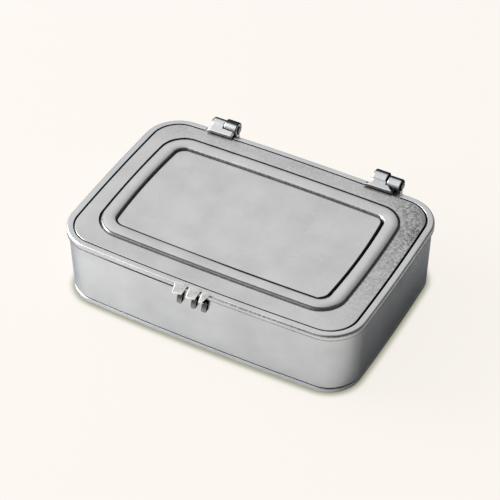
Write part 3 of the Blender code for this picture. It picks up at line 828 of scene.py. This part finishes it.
    def flange_tarnish(self, ring: Array) -> Array:
        """Work out the light tarnish on the flat round the frame, which grows to the right and the back.

        Args:
            ring: A ring on the flat.

        Returns:
            The patina of its points.
        """
        x, y = ring[:, 0] / MM, ring[:, 1] / MM
        least, right, back = self.flange_levels
        return (least + right * ramp(x, *self.flange_right) * ramp(y, *self.flange_rear)
                + back * ramp(y, *self.flange_back))

    def groove_shade(self, ring: Array, inset: Array) -> Array:
        """Work out the painted shade that spills from the grooves onto what lies beside them.

        Outside the frame it spills at the left and back, inside it at the right and front, each as far as the
        side faces that way. Along the front it also lies on the frame's two edges.

        Args:
            ring: One of the frame's rings.
            inset: Insets of the frame section's rows.

        Returns:
            An (n, m) array for the section's rows and the ring's points.
        """
        # Painted shade on the frame's sides and front edges, beside the grooves.
        left, back, right, front = (held(facing(ring, way))
                                    for way in ((-1.0, 0.0), (0.0, 1.0), (1.0, 0.0), (0.0, -1.0)))
        inset = inset[:, None] / MM
        past = inset - self.frame_width / MM
        outer = self.outer_reach[0] * left + self.outer_reach[1] * back
        inner = self.inner_reach[0] * right + self.inner_reach[1] * front
        on_outer = held((inset + outer) / self.reach_fade) * (inset < 0)
        on_inner = held((inner - past) / self.reach_fade) * (past > 0)
        on_top = self.top_spill * front * ((inset > self.top_reach[0]) & (inset < self.top_reach[1]))
        reach = np.interp(ring[:, 0] / MM, self.edge_places, self.edge_reach)
        on_edge = self.edge_spill * front * held((past + reach) / self.edge_fade) * (past < 0)
        return np.maximum.reduce((on_outer, on_inner, on_top, on_edge))

    def plate_edge(self) -> tuple[list[Array], list[Array]]:
        """Work out the plate's rounded edge, from the flat of its under side to the flat round the frame.

        Returns:
            The rings and their patina and painted shade. It is full on the edge up to under_dark on its under
            side. On its upper side only the right gets painted shade, up to right_dark.
        """
        outline = self.sizes.rim_outline()
        edge, top = self.rim_width + self.rim_gap, self.sizes.plate_top
        low, flat = top - self.plate_thickness, edge + self.plate_flats
        section = rounded_profile([(flat, low, 0.0), (edge, low, 0.2 * MM), (edge, top, 0.25 * MM),
                                   (flat, top, 0.0)])
        rings, patina_and_painted_light = list(carried(section, outline)), []
        right = held(facing(rings[0], (1.0, 0.0)))
        for (inset, height), ring in zip(section, rings):
            if height < top - 0.05 * MM:
                patina_and_painted_light.append(np.full(right.size, 1.0 if inset < edge + self.under_dark else HIDDEN))
            else:
                # Painted shade on the right of the upper side.
                patina_and_painted_light.append(np.maximum(self.flange_tarnish(ring), right * (inset < edge + self.right_dark)))
        return rings, patina_and_painted_light

    def plate(self) -> Piece:
        """Nest rings of the plate: its under side, edge, flat, raised frame and sunken panel.

        Returns:
            The plate.
        """
        edge, on_edge = self.plate_edge()
        top = self.sizes.plate_top
        flat = self.frame_ring(-self.frame_margin, top)
        section = self.frame_section()
        raised = [self.frame_ring(inset, top + height) for inset, height, _, _ in section]
        panel = self.frame_ring(self.frame_width + self.frame_margin, top - self.panel_sink)
        away = held(0.5 + facing(flat, self.shaded_way))
        # Patina in the grooves and painted shade on the frame's sides.
        on_frame = section[:, 2:3] * away + section[:, 3:4] * (1 - away)
        on_frame = np.maximum(on_frame, self.groove_shade(flat, section[:, 0]))
        on_flat = (section[:, :1] < -0.4 * MM) * self.flange_tarnish(flat)
        rings = [shrunk(edge[0], self.middle_shares[-1]), *edge, flat, *raised, panel,
                 *(shrunk(panel, share) for share in self.middle_shares)]
        on_panel = np.zeros((1 + len(self.middle_shares), away.size))
        patina_and_painted_light = np.vstack((np.full(away.size, HIDDEN), on_edge, self.flange_tarnish(flat),
                            np.maximum(on_frame, on_flat), on_panel))
        return grid_piece("plate_surface", np.stack(rings), patina_and_painted_light)

    def build(self) -> None:
        """Make and mount the lid's pieces."""
        mount(self.rim(), RIM_PEWTER.material(), Carrier.LID, "lid_rim")
        mount(self.plate(), PLATE_PEWTER.material(), Carrier.LID, "lid_plate")


# Fittings


@dataclass(frozen=True)
class Lobe:
    """One lobe of the catch: a sloping face, a blunt nose and a rounded tail that lies along the wall.

    Lengths are in mm. The fields top and nose are the ends in x at those heights, and tail is the middle of
    the tail's tip. Reaches are measured forward from the rim's face. The tail gets painted shade under the
    nose, and a painted lighter tone again lower down, between the depths below the nose in tail_dark and
    tail_pale.
    """

    node: str
    carrier: Carrier
    top: Pair
    nose: Pair
    tail: float
    rim_face: float = -44.4
    top_height: float = 32.9
    nose_height: float = 28.75
    nose_radius: float = 0.7
    reach: float = 2.6
    slope: float = 58.5
    top_tilt: float = 0.15
    cut_back: float = 0.3
    corner_round: float = 0.4
    neck_radius: float = 0.6
    tail_half: float = 1.15
    tail_lean: float = 0.18
    tail_tip: float = 21.5
    seat: float = -0.5
    thickness: float = 1.2
    taper: float = 0.6
    rim_gap: float = 0.2
    wall_top: float = 28.65
    highlight_share: float = 0.8
    tail_shade: float = 0.9
    tail_dark: Pair = (0.2, 1.0)
    tail_pale: Pair = (3.0, 7.0)
    tail_light: float = 0.45

    def contour(self) -> Array:
        """Work out the side view of the front, from the top down to the tail's tip.

        A straight slope runs into the nose's arc, then a small arc into the neck, and below it the tail
        thins to its tip along a quarter ellipse.

        Returns:
            An (n, 2) array of (reach, height).
        """
        slope = math.radians(self.slope)
        meet = math.pi / 2 - slope
        centre = np.array((self.reach - self.nose_radius, self.nose_height))
        end = centre + (self.nose_radius * math.cos(meet), self.nose_radius * math.sin(meet))
        begin = np.array((end[0] - (self.top_height - end[1]) / math.tan(slope), self.top_height))
        face = begin + (end - begin) * np.linspace(0.02, 1, 9)[:, None]
        angle = np.linspace(meet, -math.pi / 2, 11)[1:, None]
        nose = centre + self.nose_radius * np.hstack((np.cos(angle), np.sin(angle)))
        angle = np.linspace(math.pi / 2, math.pi, 6)[:, None]
        neck = self.neck_radius * np.hstack((1 + np.cos(angle), np.sin(angle) - 1))
        neck += (self.seat + self.thickness, self.nose_height - self.nose_radius)
        low = neck[-1, 1]
        angle = np.linspace(0, math.pi / 2, 15)[1:]
        tail = np.column_stack((self.seat + self.thickness * np.cos(angle) ** self.taper,
                                low - (low - self.tail_tip) * np.sin(angle)))
        return np.vstack((face, nose, neck, tail))

    def ends(self, height: float) -> Pair:
        """Find the lobe's left and right end, which run from the top to the nose, then to the round tail.

        Args:
            height: Where to look.

        Returns:
            Both ends in x.
        """
        if height >= self.nose_height:
            share = (self.top_height - height) / (self.top_height - self.nose_height)
            return tuple(top + (nose - top) * share for top, nose in zip(self.top, self.nose))
        half = self.tail_half
        above_round = height - self.tail_tip - half
        if above_round < 0:
            half *= math.sqrt(max(1 - (above_round / half) ** 2, 0.003))
        middle = self.tail + self.tail_lean * (height - self.tail_tip)
        share = min((self.nose_height - height) / (self.nose_radius + self.neck_radius), 1.0)
        below = (middle - half, middle + half)
        return tuple(nose + (end - nose) * share for nose, end in zip(self.nose, below))

    def surface(self) -> Piece:
        """Stack level sections, each a four-cornered shape with rounded front corners.

        The right side is cut back below the top. The front gets a painted highlight down to the nose and
        painted shade just below it, and the right side gets painted shade all the way.

        Returns:
            The lobe.
        """
        rings, patina_and_painted_light = [], []
        for reach, height in self.contour():
            back = self.rim_gap if height > self.wall_top else self.seat
            left, right = self.ends(height)
            depth = max(reach - back, 0.04)
            fallen = min((self.top_height - height) / (self.top_height - self.nose_height), 1.0)
            cut = self.cut_back * fallen * (1.0 if height > self.nose_height - 1 else 0.5)
            right_depth = depth * (1 - cut)
            soft = min(self.corner_round, 0.45 * right_depth, 0.4 * (right - left))
            section = rounded_profile([(left, -back, soft * 0.1), (left, -back - depth, soft),
                                       (right, -back - right_depth, soft), (right, -back, soft * 0.1)])
            tilted = height + self.top_tilt * (1 - fallen) * (section[:, 0] - left)
            rings.append(from_mm(np.column_stack((section[:, 0], self.rim_face + section[:, 1], tilted))))
            # Painted shade on the tail under the nose and on the right side, a lighter painted tone low on
            # the tail, and a painted highlight on the front above the nose.
            below = self.nose_height - height
            deep = ramp(below, *self.tail_dark)
            front = self.tail_shade * deep - self.tail_light * ramp(below, *self.tail_pale)
            # The four corners have eight points each; the third turns from the front to the right side.
            side = np.repeat((0.0, self.highlight_share * (deep - 1), 0.0, 0.1, 0.9, 1.0), (8, 8, 3, 1, 4, 8))
            patina_and_painted_light.append(np.where(side < 0, side, 1 - (1 - front) * (1 - side)))
        return grid_piece(self.node + "_surface", np.stack(rings), np.array(patina_and_painted_light))


LOBES = (
    Lobe("catch_ear_left", Carrier.BOX, top=(-8.3, -2.3), nose=(-8.6, -4.6), tail=-7.1),
    Lobe("catch_tongue", Carrier.LID, top=(-2.1, 3.45), nose=(-2.75, 1.1), tail=-0.95),
    Lobe("catch_ear_right", Carrier.BOX, top=(3.65, 7.6), nose=(2.7, 4.3), tail=3.6))


@dataclass(frozen=True)
class Hinge:
    """One hinge: a leaf with the lid's knuckle, and a bracket with the body's knuckle.

    Lengths are in mm and angles in degrees. The fields named ends, knuckle and bracket are left and right
    ends in x. The toe is the leaf's front edge, and toe_back is its y at the left and right. The leaf meets
    the knuckle at join_angle in front of its top, and bands are where the painted shade on a knuckle's top
    begins. Each depth says how far in from a knuckle's outside or end its painted shade begins, and where it
    is full. The thickness_shares are those of the leaf's right and left half. A slab's section shrinks at its
    ends by draw_in, but by no more than draw_share; slab_ends are distances from its end and parts of that.
    """

    side: str
    toe_ends: Pair
    toe_back: Pair
    neck_ends: Pair
    lid_knuckle: Pair
    body_knuckle: Pair
    bracket: Pair
    toe_slope: float
    join_angle: float
    lid_flat: float
    lid_swell: float
    body_flat: float
    end_shade: float
    face_shade: float
    toe_shade_level: float
    body_band: float
    lid_band: float = 6.0
    pin_y: float = 46.2
    pin_z: float = 33.2
    radius: float = 2.9
    bore: float = 1.25
    knuckle_round: float = 0.55
    bore_round: float = 0.15
    knuckle_points: int = 72
    outer_depth: Pair = (0.7, 0.2)
    end_depth: Pair = (0.4, 0.2)
    bore_depth: float = 0.3
    edge_shade: float = 0.8
    bore_dark: float = 0.9
    band_shade: float = 0.95
    band_rise: Pair = (-85.0, -60.0)
    band_fall: float = 16.0
    gap: float = 0.3
    leaf_under: float = 31.9
    leaf_thickness: float = 1.3
    thickness_shares: Pair = (0.55, 0.45)
    curve_start: float = 0.35
    toe_nose: Table = ((0.0, 0.0), (0.0, 0.55), (0.05, 0.85), (0.17, 1.05))
    toe_shades: Row = (1.0, 0.6, 1.0, 0.3)
    strap_steps: Row = (0.0, 0.03, 0.08, 0.16, 0.3, 0.5, 0.7, 0.84, 0.92, 0.97, 1.0)
    strap_round: Table = ((0.0, 0.03, 0.08, 0.16), (0.45, 0.2, 0.06, 0.0))
    curve_points: int = 26
    under_shade: float = 0.9
    toe_highlight: float = 0.7
    toe_reach: float = 0.35
    right_highlight: float = 0.9
    right_from: float = 0.9
    draw_in: float = 0.25
    draw_share: float = 0.4
    slab_ends: Table = ((0.0, 1.0), (0.08, 0.4), (0.3, 0.0))
    foot: Triple = (41.4, 43.2, 29.35)
    foot_shade: float = 0.8
    plate_y: Pair = (42.7, 44.6)
    plate_z: Pair = (22.5, 26.65)
    arm_y: Pair = (44.5, 47.1)
    arm_z: Pair = (28.35, 28.6)

    def knuckle(self, name: str, ends: Pair, flat: float, swell: float, band_from: float) -> Piece:
        """Turn a ring section with rounded ends round the pin's axis.

        On its upper half the section's height is less by the share flat, and so is half of its reach to the
        back. Between top and back it is wider by the share swell times sin 2a squared. A band of painted
        shade lies along its front, its ends and their edges get painted shade too, and its bore is darkened.

        Args:
            name: The piece's name.
            ends: Its left and right end.
            flat: The share by which its top is flattened.
            swell: The share by which it swells behind its top.
            band_from: Angle in front of the top, in degrees, at which the painted shade on its top begins.

        Returns:
            The new object.
        """
        left, right = ends
        section = rounded_profile([
            (left, self.radius, self.knuckle_round), (right, self.radius, self.knuckle_round),
            (right, self.bore, self.bore_round), (left, self.bore, self.bore_round)], 6)
        angle = np.linspace(0, 2 * math.pi, self.knuckle_points + 1)[:-1]
        x, distance = section[:, :1], section[:, 1:]
        share = (distance - self.bore) / (self.radius - self.bore)
        upper = held(np.cos(angle) * 4)
        behind = held(-np.sin(angle) * 4) * upper
        wide = 1 + swell * share * behind * np.sin(2 * angle) ** 2
        height = distance * np.cos(angle) * wide * (1 - flat * share * upper)
        depth = distance * np.sin(angle) * wide * (1 - flat * share * behind * 0.5)
        points = np.stack(np.broadcast_arrays(x, self.pin_y - depth, self.pin_z + height), -1)
        turn = np.degrees(np.where(angle > math.pi, angle - 2 * math.pi, angle))
        outside = ramp(distance, *(self.radius - depth for depth in self.outer_depth))
        # Painted shade: a band along the front of the top, the ends and their edges; the bore is darkened.
        band = self.band_shade * outside * ramp(turn, *self.band_rise)
        band = band * ramp(turn, band_from, band_from - self.band_fall)
        half = (right - left) / 2
        last = ramp(np.abs(x - left - half), *(half - depth for depth in self.end_depth))
        hole = self.bore_dark * ramp(distance, self.bore + self.bore_depth, self.bore)
        patina_and_painted_light = np.maximum.reduce(np.broadcast_arrays(
            band, last * self.end_shade, self.edge_shade * last * outside, hole))
        return grid_piece(name, from_mm(points), patina_and_painted_light, looped=True)

    def leaf_curve(self, start: float) -> Array:
        """Work out the side view of the leaf's top, from its toe to the knuckle: a quadratic Bezier curve.

        Args:
            start: The toe's y.

        Returns:
            An (n, 2) array of (y, z).
        """
        join = math.radians(self.join_angle)
        top = self.leaf_under + self.leaf_thickness - 0.15
        begin = np.array((start, top))
        end = np.array((self.pin_y - self.radius * math.sin(join),
                        self.pin_z + self.radius * math.cos(join) * (1 - self.lid_flat) - 0.02))
        low, steep = math.tan(math.radians(self.toe_slope)), math.tan(join) * (1 - 0.8 * self.lid_flat)
        turn_y = (top - low * start - end[1] + steep * end[0]) / (steep - low)
        turn = np.array((turn_y, top + low * (turn_y - start)))
        share = np.linspace(0, 1, self.curve_points)[:, None]
        return (1 - share) ** 2 * begin + 2 * share * (1 - share) * turn + share ** 2 * end

    def strap_loop(self, toe: float, drop: float, left_half: bool) -> Array:
        """Work out the strap's side view at one x, from its toe along its top to the knuckle and back below.

        The right half ends short of the body's knuckle, and its under side keeps clear of it.

        Args:
            toe: The toe's y.
            drop: How far the top is lowered to round the strap's edge.
            left_half: Whether it is the half with the knuckle.

        Returns:
            An (n, 2) array of (y, z).
        """
        curve = self.leaf_curve(toe + self.curve_start)
        room = self.radius + self.gap
        if not left_half:
            short = curve[np.hypot(curve[:, 0] - self.pin_y, curve[:, 1] - self.pin_z) > room + 0.12]
            old, new = np.linspace(0, 1, len(short)), np.linspace(0, 1, len(curve))
            curve = np.column_stack([np.interp(new, old, part) for part in short.T])
        top = np.vstack((np.array(self.toe_nose) + (toe, self.leaf_under), curve))
        top[:, 1] -= drop * ramp(top[:, 1], self.leaf_under, self.leaf_under + 0.5)
        under = top[::-1].copy()
        thickness = self.leaf_thickness * self.thickness_shares[left_half]
        under[:, 1] = np.maximum(under[:, 1] - thickness, self.leaf_under)
        if not left_half:
            beside = np.clip(room ** 2 - (under[:, 0] - self.pin_y) ** 2, 0, None)
            clear = np.where(beside > 0, self.pin_z + np.sqrt(beside), 0.0)
            under[:, 1] = np.minimum(np.maximum(under[:, 1], clear), top[::-1, 1] - 0.05)
        return np.vstack((top, under))

    def strap(self, name: str, left_half: bool) -> Piece:
        """Stack side views of half of the leaf's strap, whose outer edge sweeps in from the toe to the neck.

        Its toe and under side get painted shade, and it gets painted highlights along the toe and on the
        right edge.

        Args:
            name: The piece's name.
            left_half: Whether it is the half with the knuckle.

        Returns:
            The new object.
        """
        seam = self.lid_knuckle[1]
        rings, patina_and_painted_light = [], []
        on_top = slice(len(self.toe_nose), len(self.toe_nose) + self.curve_points)
        steps = np.array(self.strap_steps)
        drops = np.interp(steps if left_half else 1 - steps, *self.strap_round)
        for share, drop in zip(steps, drops):
            whole = share / 2 if left_half else (1 + share) / 2
            toe = self.toe_back[0] + (self.toe_back[1] - self.toe_back[0]) * whole
            loop = self.strap_loop(toe, drop, left_half)
            along = ramp(loop[:, 0], toe, self.pin_y - self.radius)
            if left_half:
                outer = self.toe_ends[0] + (self.neck_ends[0] - self.toe_ends[0]) * along ** 0.6
                x = outer + (seam - outer) * share
            else:
                outer = self.toe_ends[1] + (self.neck_ends[1] - self.toe_ends[1]) * along
                x = seam + (outer - seam) * share
            rings.append(from_mm(np.column_stack((x, loop))))
            # Painted shade on the toe, the under side and the steep part near the knuckle; painted highlights
            # along the toe and on the right edge.
            tarnish_and_shade = np.full(len(loop), self.under_shade)
            tarnish_and_shade[:on_top.start] = self.toe_shade_level * np.array(self.toe_shades)
            tarnish_and_shade[on_top] = 0.0
            tarnish_and_shade = np.maximum(tarnish_and_shade, self.face_shade * ramp(along, 0.5, 1.0))
            highlight_share = self.right_highlight if not left_half and share >= self.right_from else 0.0
            tarnish_and_shade[on_top] -= np.maximum(self.toe_highlight * ramp(along[on_top], self.toe_reach, 0.0), highlight_share)
            patina_and_painted_light.append(tarnish_and_shade)
        return grid_piece(name, np.stack(rings), np.array(patina_and_painted_light))

    def slab(self, name: str, ends: Pair, profile: list[Triple], tarnish_and_shade: float = 0.0) -> Piece:
        """Carry a rounded side view along x, drawn in a little at both ends.

        Args:
            name: The piece's name.
            ends: Its left and right end.
            profile: The side view's corners (y, z, radius).
            tarnish_and_shade: Its painted shade.

        Returns:
            The new object.
        """
        shape = rounded_profile(profile, 3)
        inward = (shape.min(axis=0) + shape.max(axis=0)) / 2 - shape
        inward *= np.minimum(self.draw_in / np.abs(inward).max(axis=0), self.draw_share)
        steps = [(ends[0] + inset, part) for inset, part in self.slab_ends]
        steps += [(ends[1] - inset, part) for inset, part in reversed(self.slab_ends)]
        rings = [from_mm(np.insert(shape + inward * part, 0, x, axis=1)) for x, part in steps]
        return grid_piece(name, np.stack(rings), np.full(len(rings), tarnish_and_shade))

    def leaf(self) -> Piece:
        """Join both halves of the strap, its foot in the rim's notch and the lid's knuckle.

        Returns:
            The leaf.
        """
        front, back, low = self.foot
        high = self.leaf_under + 0.2
        # The foot in the rim's notch gets painted shade.
        foot = self.slab("foot", (self.toe_ends[0] + 0.3, self.toe_ends[1] - 0.4), [
            (front, low, 0.15), (back, low, 0.15), (back, high, 0.1), (front, high, 0.1)], self.foot_shade)
        return joined(f"hinge_leaf_{self.side}_surface", [
            self.strap("left_half", True), self.strap("right_half", False), foot,
            self.knuckle("lid_knuckle", self.lid_knuckle, self.lid_flat, self.lid_swell, self.lid_band)])

    def holder(self) -> Piece:
        """Join a plate on the back wall, the arm that steps out behind the rim, and the body's knuckle.

        Returns:
            The bracket.
        """
        (face, back), (foot, knee) = self.plate_y, self.plate_z
        (arm_front, arm_back), (low, high) = self.arm_y, self.arm_z
        plate = self.slab("wall_plate", self.bracket, [
            (face, foot, 0.15), (back, foot, 0.5), (back, knee + 0.3, 0.3), (face, knee + 0.3, 0.1)])
        arm = self.slab("arm", self.body_knuckle, [
            (face, knee - 0.6, 0.1), (back, knee - 1.6, 0.3), (arm_back, low, 0.5),
            (arm_back, self.pin_z, 0.1), (arm_front, self.pin_z, 0.1), (arm_front, high, 0.1),
            (face, high, 0.1)])
        return joined(f"hinge_bracket_{self.side}_surface", [
            plate, arm, self.knuckle("body_knuckle", self.body_knuckle, self.body_flat, 0.0, self.body_band)])


HINGES = (
    Hinge("left", toe_ends=(-42.4, -31.2), toe_back=(40.35, 40.85), neck_ends=(-42.2, -31.4),
          lid_knuckle=(-42.3, -36.8), body_knuckle=(-36.5, -30.7), bracket=(-43.2, -30.8), toe_slope=20.0,
          join_angle=38.0, lid_flat=0.38, lid_swell=0.0, body_flat=0.0, end_shade=0.3, face_shade=0.0,
          toe_shade_level=0.5, body_band=34.0),
    Hinge("right", toe_ends=(29.15, 41.7), toe_back=(40.6, 40.95), neck_ends=(31.4, 38.6),
          lid_knuckle=(31.2, 37.5), body_knuckle=(37.8, 43.6), bracket=(31.1, 43.6), toe_slope=8.0,
          join_angle=58.0, lid_flat=0.0, lid_swell=0.14, body_flat=0.18, end_shade=0.95, face_shade=0.15,
          toe_shade_level=0.8, body_band=14.0))


@dataclass
class Fittings:
    """The catch and the hinges; the pins' CAD solids stay and get their metal."""

    pin_nodes: tuple[str, ...] = ("hinge_pin_left", "hinge_pin_right")

    def build(self) -> None:
        """Make and mount the fittings."""
        metal = FITTING_PEWTER.material()
        for lobe in LOBES:
            mount(lobe.surface(), metal, lobe.carrier, lobe.node)
        for hinge in HINGES:
            mount(hinge.leaf(), metal, Carrier.LID, "hinge_leaf_" + hinge.side)
            mount(hinge.holder(), metal, Carrier.BOX, "hinge_bracket_" + hinge.side)
        wire = PIN_METAL.material()
        for node in self.pin_nodes:
            dress(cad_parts[node], wire)
            LOG.info("%s keeps its solid in %s", node, PIN_METAL.name)


# Studio


@dataclass
class Studio:
    """The floor, the lamp, the surroundings and the camera.

    Each of tent_falls is a direction, the span of its cosine in which the tent gets brighter, and the level
    below that span.
    """

    eye: Triple = (271.6 * MM, -501.25 * MM, 536.6 * MM)
    target: Triple = (7.63 * MM, -15.73 * MM, 31.65 * MM)
    lens: float = 139.97
    sensor: float = 36.0
    near_clip: float = 0.01
    paper: Colour = (0.965, 0.922, 0.871, 1.0)
    floor_half: float = 3.0
    floor_drop: float = 0.1 * MM
    contact_shade: Colour = (0.36, 0.37, 0.27, 1.0)
    contact_reach: float = 4.0 * MM
    contact_span: Pair = (0.45, 1.0)
    contact_samples: int = 16
    lift_seen: float = 0.93
    lift_mirrored: float = 0.02
    tent_falls: tuple[tuple[Triple, Pair, float], ...] = (
        ((-0.45, 0.1, 0.89), (0.10, 0.5), 0.25), ((-1.0, 0.0, 0.0), (-0.15, 0.3), 0.25))
    tent_level: float = 1.31
    lamp_place: Triple = (-1.07, -0.26, 0.485)
    lamp_size: float = 0.85
    lamp_power: float = 25.0

    def aim(self, thing: Piece, place: Triple) -> None:
        """Put a lamp or camera in its place and point it at the target."""
        thing.location = place
        thing.rotation_euler = (Vector(place) - Vector(self.target)).to_track_quat("Z", "Y").to_euler()

    def camera(self) -> None:
        """Set up the camera at the photograph's angle."""
        data = bpy.data.cameras.new("camera")
        data.lens, data.sensor_width, data.clip_start = self.lens, self.sensor, self.near_clip
        camera = in_scene("camera", data)
        self.aim(camera, self.eye)
        bpy.context.scene.camera = camera

    def lamp(self) -> None:
        """Hang the square soft lamp at the left."""
        data = bpy.data.lights.new("key_lamp", "AREA")
        data.size, data.energy = self.lamp_size, self.lamp_power
        self.aim(in_scene("key_lamp", data), self.lamp_place)

    def floor(self) -> None:
        """Lay a pale paper floor that keeps the box's shadow; part of its paleness is its own.

        That part is nearly all of it for the camera's rays and a small one in reflections. Close to the box
        it is tinted with the shade of the contact.
        """
        half, low = self.floor_half, -self.floor_drop
        mesh = bpy.data.meshes.new("floor")
        mesh.from_pydata([(-half, -half, low), (half, -half, low), (half, half, low), (-half, half, low)], [],
                         [(0, 1, 2, 3)])
        floor = in_scene("floor", mesh)
        recipe = Recipe("floor_paper")
        path = recipe.add("ShaderNodeLightPath", {}).outputs
        mirrored = recipe.maths("ADD", path["Is Glossy Ray"], path["Is Transmission Ray"])
        share = recipe.maths("ADD", recipe.maths("MULTIPLY", path["Is Camera Ray"], self.lift_seen),
                             recipe.maths("MULTIPLY", mirrored, self.lift_mirrored))
        near = recipe.add("ShaderNodeAmbientOcclusion", {"Distance": self.contact_reach},
                          samples=self.contact_samples)
        open_sky = recipe.spread(near.outputs["AO"], *self.contact_span, kind="SMOOTHSTEP")
        lit = recipe.add("ShaderNodeBsdfDiffuse", {"Color": self.paper})
        glow = recipe.mixed(open_sky, self.contact_shade, self.paper)
        own = recipe.add("ShaderNodeEmission", {"Color": glow})
        choice = recipe.add("ShaderNodeMixShader", {0: share, 1: lit.outputs[0], 2: own.outputs[0]})
        recipe.tree.nodes.remove(recipe.shader)
        recipe.feed(recipe.tree.nodes["Material Output"], {"Surface": choice.outputs[0]})
        dress(floor, recipe.material)

    def surroundings(self) -> None:
        """Hang a soft light tent that is bright above and at the left.

        Its strength is the product of two smooth falls to a quarter, one from above the left to the horizon,
        and one from the left to the right.
        """
        world = bpy.data.worlds.new("light_tent")
        bpy.context.scene.world = world
        world.use_nodes = True
        wiring = Wiring(world.node_tree)
        wiring.tree.nodes.clear()
        seen = wiring.add("ShaderNodeTexCoord", {}).outputs["Generated"]
        level = self.tent_level
        for way, span, lowest in self.tent_falls:
            along = wiring.add("ShaderNodeVectorMath", {0: seen, 1: Vector(way).normalized()},
                               operation="DOT_PRODUCT")
            fall = wiring.spread(along.outputs["Value"], *span, lowest, kind="SMOOTHSTEP")
            level = wiring.maths("MULTIPLY", fall, level)
        tent = wiring.add("ShaderNodeBackground", {"Strength": level})
        wiring.add("ShaderNodeOutputWorld", {"Surface": tent.outputs[0]})

    def build(self) -> None:
        """Set up the whole studio."""
        self.camera()
        self.floor()
        self.surroundings()
        self.lamp()
        bpy.context.scene.view_settings.view_transform = "Standard"


def plain(box: tuple) -> list[list[float]]:
    """The two corners of a box as lists of numbers."""
    return [[float(value) for value in corner] for corner in box]


def main() -> None:
    """Build the box and its studio."""
    logging.basicConfig(level=logging.INFO, format="%(message)s")
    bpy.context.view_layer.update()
    sizes = Sizes()
    Body(sizes).build()
    Lid(sizes).build()
    Fittings().build()
    Studio().build()


if __name__ == "__main__":
    main()
